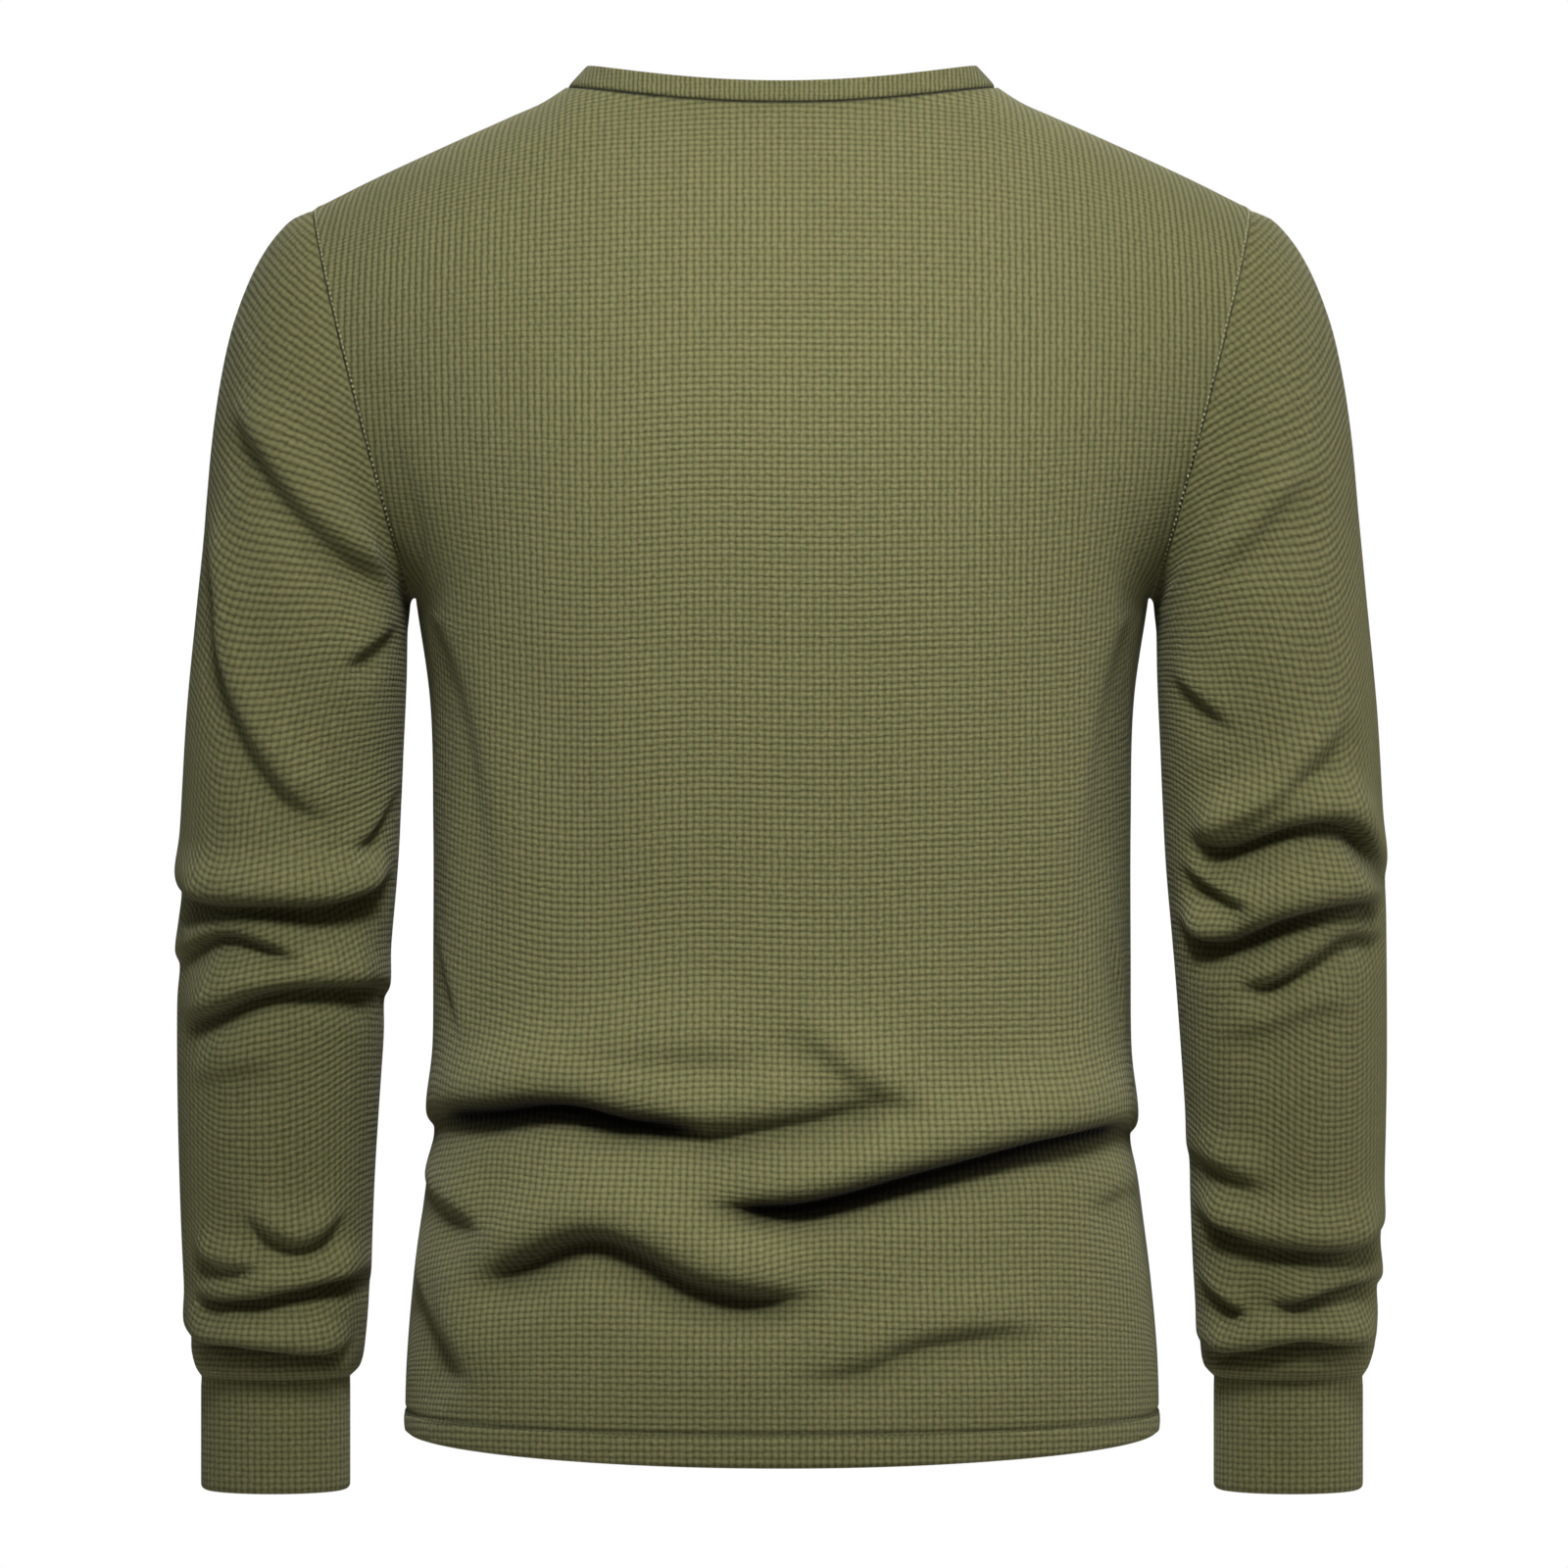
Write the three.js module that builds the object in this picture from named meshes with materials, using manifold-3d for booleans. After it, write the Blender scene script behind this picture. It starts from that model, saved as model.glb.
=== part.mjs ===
// Long-sleeved henley shirt in waffle knit, hollow, in the form it has when it is worn.
// Millimetres, +Z up, the front faces -Y, +X is the wearer's left. The origin lies between the two
// points where the shoulder seams meet the neckband: the level at which the wearer's shoulders carry it.
// Every cloth piece is a closed wall: a grid of points on the garment's outer face, and the same grid
// moved in along the shared normals, so that neighbours stay parallel across their seams.
import * as THREE from "three";
import Module from "manifold-3d";

// Cloth and seams
const WALL = 1.6; // one layer of waffle knit
const HEM_WALL = 2.4; // the turned-up hem
const CUFF_WALL = 2.2; // the cuffs and the neckband are folded double
const SEAM_GAP = 0.3;
const HEM = { side: -656, back: -664.5, front: -660, top: -643 }; // heights, turned up as far as top

// Body
const ARMPIT = { x: 179.5, z: -249 };
const SHOULDER = { x: 229, z: -59 };
const NECK_HALF_WIDTH = 105;
const NECK_POINT_Y = 12; // the shoulder seam meets the neckline this far behind the origin
const NECK_COLUMNS = 6; // columns from the centre of a panel to the end of its neckline
const ARMPIT_ROW_DIP = 26; // the row through the armpits dips this far between them
const BODY_SQUARENESS = 2.4; // exponent of the superellipse that the body's sections follow

// Front opening
const PLACKET_HALF_WIDTH = 14;
const PLACKET_PROUD = 0.5; // the overlap stands this far out of the front
const PLACKET_WALL = 2.2;
const UNDER_DEPTH = 2.7; // the neckband's under end lies this far in
const BUTTON = { radius: 5.5, thickness: 2.6, rim: 0.6, hole: 0.9, holeSpread: 1.5 };
// From the bottom: the placket's row, and how far on towards the next one
const BUTTON_ROWS = [{ row: 1, share: 0 }, { row: 3, share: 0.3 }, { row: 5, share: 0.5 }];

// Neckband and cuffs
const BAND_HEIGHT = 15;
const BAND_LEAN = 0.68; // how much the band leans towards the neck, 0 upright to 1 flat
const CUFF = { x: 250, y: -29.5, halfWidth: 36, depth: 31, bottom: -688 };

// Grid: columns of a body panel, rows above the armpits, heights of the lower rows at the centre back
const BODY_COLUMNS = 28;
const UPPER_ROWS = 12;
const NOTCH_ROW = 3; // the placket ends this many rows above the armpit row
const LOWER_ROWS = [
  HEM.back, -647, -632, -617, -603, -590, -577, -565, -554, -543, -532, -521, -510, -499, -488, -476,
  -462, -446, -428, -407, -384, -360, -334, -306, -275,
];

const RAD = Math.PI / 180;
const COLUMN_TURN = 180 / BODY_COLUMNS;
const NECK_TURN = (180 * NECK_COLUMNS) / BODY_COLUMNS;

// The body's sections below the armpits. z is the height at the side seam.
const BODY_SECTIONS = [
  { z: -660, half: 184.5, back: 119, front: 116 },
  { z: -620, half: 183.5, back: 118, front: 115 },
  { z: -580, half: 180, back: 114, front: 114 },
  { z: -530, half: 174, back: 108, front: 113 },
  { z: -480, half: 171, back: 102, front: 113 },
  { z: -420, half: 170.5, back: 99, front: 114 },
  { z: -360, half: 170.5, back: 103, front: 117 },
  { z: -300, half: 172, back: 109, front: 121 },
  { z: -249, half: 179.5, back: 113, front: 124 },
];

// The shoulder seam, from the neck to the armhole.
const SHOULDER_RIDGE = [
  { x: 105, z: 0, y: 12 },
  { x: 117, z: -7.5, y: 9 },
  { x: 131, z: -13.5, y: 6 },
  { x: 164, z: -28, y: 2 },
  { x: 200, z: -44.5, y: 0 },
  { x: 229, z: -59, y: 0 },
];

// What differs between the back and the front above the armpits. fall is the exponent of the curve from
// the flat of the panel over to the shoulder seam, fullness the panel's depth against the armpit row's,
// firstPsi where the first column from the centre meets the neckline.
const BACK = {
  sign: 1, neckDepth: 50, neckDrop: 11, neckSquare: 1, neckRound: 2.2, armholeDepth: 62, armholeBow: 2, fall: 2.4,
  firstPsi: 15, fullness: [{ w: 0, depth: 1 }, { w: 0.35, depth: 1.06 }, { w: 1, depth: 0.98 }],
};
const FRONT = {
  sign: -1, neckDepth: 94, neckDrop: 84, neckSquare: 0.8, neckRound: 2, armholeDepth: 60, armholeBow: -9, fall: 2.1,
  firstPsi: 7.66, fullness: [{ w: 0, depth: 1 }, { w: 0.35, depth: 1.03 }, { w: 1, depth: 0.95 }],
};

// The sleeve's rings, named by the height of their outermost point. The innermost point runs down the
// underarm seam. depth is half the ring's size from front to back, y its centre.
const SLEEVE_RINGS = [
  { z: SHOULDER.z, outerX: 229, innerX: 179.5, innerZ: -249, depth: 61, y: 1 },
  { z: -64.5, outerX: 240.5, innerX: 181.4, innerZ: -249.4, depth: 62, y: 1 },
  { z: -83, outerX: 255, innerX: 183, innerZ: -252, depth: 63, y: 1 },
  { z: -111, outerX: 267, innerX: 183, innerZ: -258, depth: 64, y: 1 },
  { z: -137, outerX: 273.5, innerX: 183.6, innerZ: -265, depth: 64, y: 1 },
  { z: -170, outerX: 278.5, innerX: 183.8, innerZ: -274, depth: 64, y: 1 },
  { z: -208, outerX: 282, innerX: 184, innerZ: -286, depth: 63, y: 1 },
  { z: -250, outerX: 286, innerX: 184.6, innerZ: -302, depth: 62, y: 1 },
  { z: -301, outerX: 291, innerX: 185.6, innerZ: -322, depth: 60, y: 0 },
  { z: -340, outerX: 293.5, innerX: 186.6, innerZ: -345, depth: 58, y: -1 },
  { z: -380, outerX: 295.5, innerX: 188.5, innerZ: -380, depth: 56, y: -3 },
  { z: -430, outerX: 296.5, innerX: 193, innerZ: -430, depth: 53.5, y: -7 },
  { z: -480, outerX: 297, innerX: 197, innerZ: -480, depth: 51.5, y: -12 },
  { z: -530, outerX: 296.5, innerX: 200.5, innerZ: -530, depth: 49, y: -18 },
  { z: -580, outerX: 295, innerX: 203, innerZ: -580, depth: 47, y: -24 },
  { z: -616, outerX: 292.5, innerX: 206, innerZ: -616, depth: 44.5, y: -28 },
  { z: -627, outerX: 289.5, innerX: 208.5, innerZ: -627, depth: 40, y: -29 },
  { z: -632, outerX: 286.5, innerX: 213.5, innerZ: -632, depth: 32.5, y: -29.5 },
];
const SLEEVE_ROWS = [
  SHOULDER.z, -65, -78, -96, -120, -148, -178, -210, -240, -268, -294, -318, -338, -355, -370, -383, -395,
  -406, -417, -429, -442, -458, -480, -506, -528, -545, -559, -572, -585, -597, -608, -617, -625, -632,
];

// Folds. Each runs along a line on the cloth, given by turn (degrees round the body from the centre of
// the back, or round the sleeve from the underarm seam by the back) and height z. The cloth stands out
// above the line and dips in below it. crest and dip are how far, rise and fall how wide, lip how far
// the crest hangs down over the dip, taper the share of the line over which each end fades.
const BODY_FOLDS = [
  // over the seat, from the wearer's left side to the right
  { line: [[118, -522], [104, -514], [88, -512], [70, -506], [51, -499], [36, -495], [24, -502], [12, -508],
    [-2, -501], [-16, -492]], crest: 8, rise: 13, dip: 8, fall: 10, lip: 4, taper: 0.16 },
  { line: [[14, -549], [-6, -540], [-24, -526], [-44, -513], [-62, -510], [-90, -516], [-114, -524]],
    crest: 8, rise: 13, dip: 8, fall: 10, lip: 4, taper: 0.18 },
  { line: [[51, -590], [42, -572], [31, -558], [24, -562], [14, -578], [2, -586], [-8, -588]],
    crest: 6, rise: 13, dip: 7, fall: 10, lip: 3, taper: 0.25 },
  { line: [[0, -626], [-12, -619], [-20, -608], [-32, -603], [-44, -606]],
    crest: 3, rise: 11, dip: 3, fall: 9, lip: 1, taper: 0.35 },
  { line: [[88, -533], [74, -542], [59, -550], [48, -560]],
    crest: 5, rise: 9, dip: 5, fall: 8, lip: 2, taper: 0.3 },
  { line: [[84, -580], [72, -592], [60, -610], [50, -630]],
    crest: 3, rise: 11, dip: 4, fall: 9, lip: 1, taper: 0.35 },
  // the same slack over the belly
  { line: [[100, -500], [118, -506], [140, -500], [160, -508], [182, -520]],
    crest: 6, rise: 14, dip: 6, fall: 11, lip: 2, taper: 0.25 },
  { line: [[176, -560], [196, -548], [216, -538], [238, -525], [260, -512]],
    crest: 6, rise: 14, dip: 6, fall: 11, lip: 2, taper: 0.25 },
  { line: [[112, -570], [130, -580], [152, -578], [172, -592]],
    crest: 4, rise: 13, dip: 4, fall: 10, lip: 1, taper: 0.3 },
];
const LEFT_SLEEVE_FOLDS = [
  { line: [[150, -158], [123, -180], [104, -200], [79, -223], [60, -235], [42, -244]],
    crest: 4, rise: 12, dip: 5, fall: 9, lip: 0, taper: 0.25 },
  { line: [[172, -200], [146, -247], [126, -299], [104, -330], [85, -350], [60, -362]],
    crest: 4, rise: 11, dip: 4, fall: 8, lip: 0, taper: 0.25 },
  { line: [[205, -380], [178, -392], [150, -398], [99, -400], [65, -400], [35, -394], [5, -388]],
    crest: 5, rise: 10, dip: 5, fall: 8, lip: 2, taper: 0.2 },
  { line: [[200, -432], [157, -426], [125, -415], [98, -419], [72, -430]],
    crest: 4, rise: 9, dip: 4, fall: 7, lip: 1, taper: 0.25 },
  { line: [[160, -466], [125, -452], [89, -441], [40, -440], [0, -446], [-30, -452]],
    crest: 4, rise: 10, dip: 4, fall: 8, lip: 1, taper: 0.25 },
  { line: [[112, -548], [84, -562], [60, -562], [36, -549]],
    crest: 3, rise: 9, dip: 4, fall: 7, lip: 1, taper: 0.3 },
  { line: [[150, -594], [108, -592], [72, -587], [28, -583], [-10, -590]],
    crest: 4, rise: 9, dip: 4, fall: 7, lip: 1, taper: 0.25 },
  { line: [[230, -600], [190, -609], [158, -615], [110, -617], [60, -619], [20, -618]],
    crest: 4, rise: 9, dip: 4, fall: 6, lip: 1, taper: 0.2 },
  // front of the elbow
  { line: [[350, -372], [320, -386], [285, -392], [250, -384], [222, -370]],
    crest: 4, rise: 11, dip: 5, fall: 8, lip: 1, taper: 0.25 },
  { line: [[340, -420], [310, -414], [270, -424], [235, -440]],
    crest: 4, rise: 11, dip: 4, fall: 8, lip: 1, taper: 0.25 },
  { line: [[330, -588], [290, -578], [250, -586], [215, -596]],
    crest: 3, rise: 9, dip: 4, fall: 7, lip: 1, taper: 0.25 },
];
const RIGHT_SLEEVE_FOLDS = [
  { line: [[38, -216], [54, -196], [67, -178], [81, -161], [96, -147]],
    crest: 3, rise: 11, dip: 3, fall: 9, lip: 0, taper: 0.35 },
  { line: [[70, -240], [84, -225], [100, -211], [124, -190]],
    crest: 3, rise: 11, dip: 3, fall: 9, lip: 0, taper: 0.35 },
  { line: [[30, -370], [60, -372], [98, -362], [125, -361], [150, -379], [185, -392]],
    crest: 6, rise: 11, dip: 4, fall: 8, lip: 1, taper: 0.2 },
  { line: [[8, -410], [33, -416], [60, -416], [92, -406], [132, -399], [170, -404]],
    crest: 5, rise: 10, dip: 6, fall: 8, lip: 2, taper: 0.2 },
  { line: [[60, -444], [88, -434], [107, -424], [130, -415], [165, -420]],
    crest: 3, rise: 9, dip: 4, fall: 7, lip: 1, taper: 0.25 },
  { line: [[-20, -520], [23, -526], [52, -532], [84, -541]],
    crest: 3, rise: 9, dip: 3, fall: 7, lip: 0, taper: 0.3 },
  { line: [[0, -552], [36, -558], [75, -566], [123, -569], [170, -562], [200, -560]],
    crest: 4, rise: 10, dip: 4, fall: 8, lip: 1, taper: 0.2 },
  { line: [[60, -600], [90, -595], [126, -588], [160, -586], [200, -592]],
    crest: 4, rise: 9, dip: 4, fall: 7, lip: 1, taper: 0.25 },
  { line: [[-20, -612], [21, -620], [60, -618], [96, -613], [134, -616], [180, -618]],
    crest: 4, rise: 8, dip: 4, fall: 6, lip: 1, taper: 0.2 },
  // front of the elbow
  { line: [[348, -380], [318, -392], [284, -396], [250, -388], [224, -376]],
    crest: 4, rise: 11, dip: 5, fall: 8, lip: 1, taper: 0.25 },
  { line: [[336, -432], [305, -424], [268, -430], [232, -444]],
    crest: 4, rise: 11, dip: 4, fall: 8, lip: 1, taper: 0.25 },
  { line: [[328, -580], [290, -572], [252, -580], [218, -592]],
    crest: 3, rise: 9, dip: 4, fall: 7, lip: 1, taper: 0.25 },
];
const BODY_FOLD_RADIUS = 140; // turns a degree of turn into millimetres of cloth
const SLEEVE_FOLD_RADIUS = 54;

const clamp01 = (t) => Math.min(1, Math.max(0, t));
const smooth = (t) => clamp01(t) ** 2 * (3 - 2 * clamp01(t));
const mix = (a, b, t) => a + (b - a) * t;

// A table's row at a key, each column a smooth curve through the rows.
function tableAt(rows, key, at) {
  const rising = rows[1][key] > rows[0][key];
  let i = 0;
  while (i < rows.length - 2 && (rising ? at > rows[i + 1][key] : at < rows[i + 1][key])) i += 1;
  const [a, b] = [rows[i], rows[i + 1]];
  const before = rows[Math.max(0, i - 1)];
  const after = rows[Math.min(rows.length - 1, i + 2)];
  const span = b[key] - a[key];
  const t = clamp01((at - a[key]) / span);
  const out = {};
  for (const column of Object.keys(a)) {
    const slopeA = ((b[column] - before[column]) / (b[key] - before[key])) * span;
    const slopeB = ((after[column] - a[column]) / (after[key] - a[key])) * span;
    out[column] =
      a[column] * (2 * t ** 3 - 3 * t ** 2 + 1) + slopeA * (t ** 3 - 2 * t ** 2 + t) +
      b[column] * (3 * t ** 2 - 2 * t ** 3) + slopeB * (t ** 3 - t ** 2);
  }
  return out;
}

// Folds as a shift of the cloth: out along the normal, and down along the wall.
function foldCourse(fold, radius) {
  const points = fold.line.map(([turn, z]) => new THREE.Vector2(turn * RAD * radius, z));
  if (points.at(-1).x < points[0].x) points.reverse();
  return new THREE.SplineCurve(points).getSpacedPoints(8 * (points.length - 1));
}

function foldShift(folds, turn, z, radius) {
  let out = 0;
  let down = 0;
  for (const fold of folds) {
    fold.course ??= foldCourse(fold, radius);
    for (const lap of [-360, 0, 360]) {
      const p = new THREE.Vector2((turn + lap) * RAD * radius, z);
      const near = nearestOn(fold.course, p);
      const ends = smooth(near.along / fold.taper) * smooth((1 - near.along) / fold.taper);
      const crest = Math.exp(-(((near.below + 0.8 * fold.rise) / fold.rise) ** 2));
      const dip = Math.exp(-(((near.below - 0.9 * fold.fall) / fold.fall) ** 2));
      out += ends * (fold.crest * crest - fold.dip * dip);
      down += ends * fold.lip * Math.exp(-((near.below / fold.fall) ** 2));
    }
  }
  return { out, down };
}

// The nearest place on a course: along is 0 to 1, below is the signed distance to its lower side.
function nearestOn(course, p) {
  let best = { far: Infinity, along: 0, below: 0 };
  for (let i = 0; i < course.length - 1; i += 1) {
    const [a, b] = [course[i], course[i + 1]];
    const [dx, dy] = [b.x - a.x, b.y - a.y];
    const raw = ((p.x - a.x) * dx + (p.y - a.y) * dy) / (dx * dx + dy * dy);
    const t = clamp01(raw);
    const [ex, ey] = [p.x - a.x - t * dx, p.y - a.y - t * dy];
    const far = Math.hypot(ex, ey);
    if (far < best.far) {
      const side = Math.sign(dy * (p.x - a.x) - dx * (p.y - a.y)) || 1;
      const past = (i === 0 && raw < 0) || (i === course.length - 2 && raw > 1);
      best = { far, along: past ? (i === 0 ? 0 : 1) : (i + t) / (course.length - 1), below: side * far };
    }
  }
  return best;
}

// The armhole, w 0 at the armpit to 1 at the shoulder seam.
function armhole(side, w) {
  const c = (1 - Math.cos(Math.PI * w)) / 2;
  const s = Math.sin(Math.PI * w);
  return {
    x: mix(ARMPIT.x, SHOULDER.x, c) + side.armholeBow * s,
    y: side.armholeDepth * Math.abs(s) ** 0.92,
    z: mix(ARMPIT.z, SHOULDER.z, c),
  };
}

// The neckline at psi degrees round the neck, 0 at the side's centre and 90 at the shoulder seam.
function neckline(side, psi) {
  const back = Math.abs(Math.cos(psi * RAD));
  return {
    x: NECK_HALF_WIDTH * Math.sin(psi * RAD),
    y: side.sign * NECK_POINT_Y + side.neckDepth * back ** side.neckSquare,
    z: -side.neckDrop * back ** side.neckRound,
  };
}

// The top edge of a panel: neckline, then shoulder seam. turn is 0 to 90.
function topEdge(side, turn) {
  if (turn <= COLUMN_TURN) return neckline(side, (side.firstPsi * turn) / COLUMN_TURN);
  if (turn <= NECK_TURN) {
    return neckline(side, mix(side.firstPsi, 90, (turn - COLUMN_TURN) / (NECK_TURN - COLUMN_TURN)));
  }
  const along = (turn - NECK_TURN) / (90 - NECK_TURN);
  const ridge = tableAt(SHOULDER_RIDGE, "x", mix(NECK_HALF_WIDTH, SHOULDER.x, along));
  return { x: ridge.x, y: side.sign * ridge.y, z: ridge.z };
}

const squared = (turn, power = BODY_SQUARENESS) => {
  const [s, c] = [Math.abs(Math.sin(turn * RAD)), Math.abs(Math.cos(turn * RAD))];
  return (s ** power + c ** power) ** (-1 / power);
};

// The body below the armpits, for a quarter turn. v is 0 at the hem and 1 at the armpit row.
function lowerBody(side, turn, v, height) {
  const hem = mix(HEM.side, side === BACK ? HEM.back : HEM.front, Math.cos(turn * RAD) ** 2);
  const armpitRow = ARMPIT.z - ARMPIT_ROW_DIP * (1 - Math.sin(turn * RAD) ** 6);
  const z = height ?? mix(hem, armpitRow, v);
  const section = tableAt(BODY_SECTIONS, "z", Math.max(z, -660));
  const depth = side === BACK ? section.back : section.front;
  const k = squared(turn);
  return {
    x: section.half * Math.sin(turn * RAD) * k, y: depth * Math.cos(turn * RAD) * k, z,
    half: section.half, depth,
  };
}

// The section's size above the armpits: the superellipse that passes through the armhole's edge.
function upperSection(side, w) {
  const edge = armhole(side, w);
  const full = tableAt(side.fullness, "w", w).depth;
  const power = mix(BODY_SQUARENESS, 2.1, w);
  const edgeY = edge.y / falling(side, climbAt(w));
  const share = edgeY / (lowerBody(side, 0, 1, ARMPIT.z).y * full);
  const half = edge.x / (1 - share ** power) ** (1 / power);
  return { edge, full, power, wider: half / ARMPIT.x, edgeTurn: Math.atan2(edge.x / half, share) };
}

const climbAt = (w) => Math.sin((Math.PI / 2) * w) ** 1.3;
const falling = (side, climb) => Math.max(0, 1 - Math.min(1, climb) ** side.fall) ** (1 / side.fall);

// The body above the armpits, for a quarter turn. w is 0 at the armpit row and 1 at the top edge.
function upperBody(side, turn, w) {
  const low = lowerBody(side, turn, 1);
  if (w === 0) return low;
  const top = topEdge(side, turn);
  const sections = [w, 1].map((at) => upperSection(side, Math.min(at, 0.98)));
  const [here, last] = sections;
  const edge = armhole(side, w);
  const angle = (turn / 90) * here.edgeTurn;
  const half = (section) => low.half * section.wider;
  const x = mix(
    half(here) * Math.sin(angle) * squared(angle / RAD, here.power),
    (top.x / SHOULDER.x) * edge.x,
    smooth(w / 0.95),
  );
  const flatAt = (section, at) =>
    low.depth * section.full * Math.max(0, 1 - (at / half(section)) ** section.power) ** (1 / section.power);
  const ridgeY = turn <= NECK_TURN ? side.sign * NECK_POINT_Y : top.y;
  const reach = falling(side, (top.y - ridgeY) / (flatAt(last, top.x) - ridgeY));
  const climb = climbAt(w);
  // Away from the top edge, the corner at the neck point eases into one smooth line over the shoulders
  const topLine = mix(SHOULDER.z * (turn / 90) ** 2, low.z + (top.z - low.z) / reach, w ** 4);
  const hold = Math.sin(turn * RAD) ** 10;
  return {
    x: turn === 90 ? edge.x : x,
    y: turn === 90 ? edge.y : ridgeY + (flatAt(here, x) - ridgeY) * falling(side, climb * reach),
    z: low.z + (topLine - low.z) * climb * reach + hold * (edge.z - mix(ARMPIT.z, SHOULDER.z, climb)),
  };
}

// A point of the body's outer face. turn runs 0 at the centre back, 90 at the wearer's left side, 180 at
// the centre front and on to 270. level is 0 at the hem, 1 at the armpit row and 2 at the top edge.
function bodyPoint(side, turn, level) {
  const away = side === BACK ? turn : 180 - turn;
  const quarter = Math.abs(away);
  const p = level <= 1 ? lowerBody(side, quarter, level) : upperBody(side, quarter, level - 1);
  const x = side === FRONT && Math.abs(quarter - COLUMN_TURN) < 1 ? PLACKET_HALF_WIDTH : p.x;
  return new THREE.Vector3((away < 0 ? -1 : 1) * x, side.sign * p.y, p.z);
}

// A point of the left sleeve's outer face. turn is 0 at the underarm, 90 at the back, 180 outside.
function sleevePoint(turn, z) {
  const ring = tableAt(SLEEVE_RINGS, "z", z);
  const [c, s] = [Math.cos(turn * RAD), Math.sin(turn * RAD)];
  const x = mix(ring.outerX, ring.innerX, (1 + c) / 2);
  const height = mix(z, ring.innerZ, (1 + c) / 2);
  const y = ring.y + ring.depth * Math.sign(s) * Math.abs(s) ** 0.92;
  const side = s >= 0 ? BACK : FRONT;
  const hole = armhole(side, (1 - c) / 2 === 0 ? 0 : Math.acos(c) / Math.PI);
  const fade = 1 - smooth((SLEEVE_RINGS[0].z - z) / 90);
  const start = tableAt(SLEEVE_RINGS, "z", SLEEVE_RINGS[0].z);
  const startY = start.y + start.depth * Math.sign(s) * Math.abs(s) ** 0.92;
  return new THREE.Vector3(
    x + fade * (hole.x - mix(start.outerX, start.innerX, (1 + c) / 2)),
    y + fade * (side.sign * hole.y - startY),
    height,
  );
}

// A grid of points: rows[i][j]. Rows run up the body with falling turn, down the sleeve with rising turn.
const gridOf = (levels, turns, pointAt) => levels.map((level) => turns.map((turn) => pointAt(turn, level)));

// Visits a grid's cells, corners in turn about the outward normal.
function eachCell({ grid, wraps, keep }, visit) {
  const columns = grid[0].length;
  for (let i = 0; i < grid.length - 1; i += 1) {
    for (let j = 0; j < (wraps ? columns : columns - 1); j += 1) {
      const n = (j + 1) % columns;
      if (!keep || keep(i, j)) visit([[i, j], [i, n], [i + 1, n], [i + 1, j]]);
    }
  }
}

// The outward direction across a cell, as long as twice its area.
function acrossCell(grid, corners) {
  const [a, b, c, d] = corners.map(([i, j]) => grid[i][j]);
  return new THREE.Vector3().subVectors(c, a).cross(new THREE.Vector3().subVectors(d, b));
}

// Normals of the whole garment: pieces that share points get the same normals there.
function sharedNormals(pieces) {
  const sums = new Map();
  const keyOf = (p) => [p.x, p.y, p.z].map((c) => Math.round(c * 200)).join();
  for (const piece of pieces) {
    eachCell(piece, (corners) => {
      for (const [i, j] of corners) {
        const key = keyOf(piece.grid[i][j]);
        if (!sums.has(key)) sums.set(key, new THREE.Vector3());
        sums.get(key).add(acrossCell(piece.grid, corners));
      }
    });
  }
  const normalOf = (p) => (sums.get(keyOf(p)) ?? new THREE.Vector3(0, 0, 1)).clone().normalize();
  for (const piece of pieces) piece.normals = piece.grid.map((row) => row.map(normalOf));
}

// A closed wall from a piece: outer face, inner face and rims. Every open edge is drawn in by half a
// seam's gap. lift moves the whole wall out.
function wallOf(piece, wallAt, lift = 0) {
  const { grid, normals } = piece;
  const columns = grid[0].length;
  const id = ([i, j]) => i * columns + j;
  const faces = [];
  const edges = new Map();
  eachCell(piece, (corners) => {
    const ids = corners.map(id);
    const leftHalf = corners[0][1] < columns / 2;
    faces.push(leftHalf ? [...ids.slice(1), ids[0]] : ids);
    const across = acrossCell(grid, corners).normalize();
    ids.forEach((from, k) => {
      const to = ids[(k + 1) % 4];
      if (!edges.delete(`${to},${from}`)) edges.set(`${from},${to}`, { from, to, across });
    });
  });
  const points = grid.flat();
  const inwards = new Map();
  for (const { from, to, across } of edges.values()) {
    const along = new THREE.Vector3().subVectors(points[to], points[from]).normalize();
    const inward = new THREE.Vector3().crossVectors(across, along).normalize();
    for (const corner of [from, to]) inwards.set(corner, [...(inwards.get(corner) ?? []), inward]);
  }
  const outer = [];
  const inner = [];
  normals.flat().forEach((normal, k) => {
    const [p, q] = inwards.get(k) ?? [];
    const moved = points[k].clone().addScaledVector(normal, lift);
    if (p) moved.addScaledVector(p.clone().add(q), SEAM_GAP / 2 / Math.max(0.35, 1 + p.dot(q)));
    outer.push(moved);
    inner.push(moved.clone().addScaledVector(normal, -wallAt(points[k])));
  });
  const triangles = [];
  const push = (...corners) => corners.forEach((p) => triangles.push(p.x, p.y, p.z));
  for (const [a, b, c, d] of faces) {
    push(outer[a], outer[b], outer[c]);
    push(outer[a], outer[c], outer[d]);
    push(inner[a], inner[c], inner[b]);
    push(inner[a], inner[d], inner[c]);
  }
  // Neighbours split a rim along the same diagonal, so that a twisted rim keeps its gap
  const rank = (k) => points[k].z + 0.3 * points[k].x + 0.1 * points[k].y;
  for (const { from, to } of edges.values()) {
    if (rank(to) > rank(from)) {
      push(outer[to], outer[from], inner[from]);
      push(outer[to], inner[from], inner[to]);
    } else {
      push(outer[to], outer[from], inner[to]);
      push(outer[from], inner[from], inner[to]);
    }
  }
  return solidOf(triangles);
}

function solidOf(triangles) {
  const geometry = new THREE.BufferGeometry();
  geometry.setAttribute("position", new THREE.Float32BufferAttribute(triangles, 3));
  geometry.computeVertexNormals();
  return geometry;
}

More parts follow.
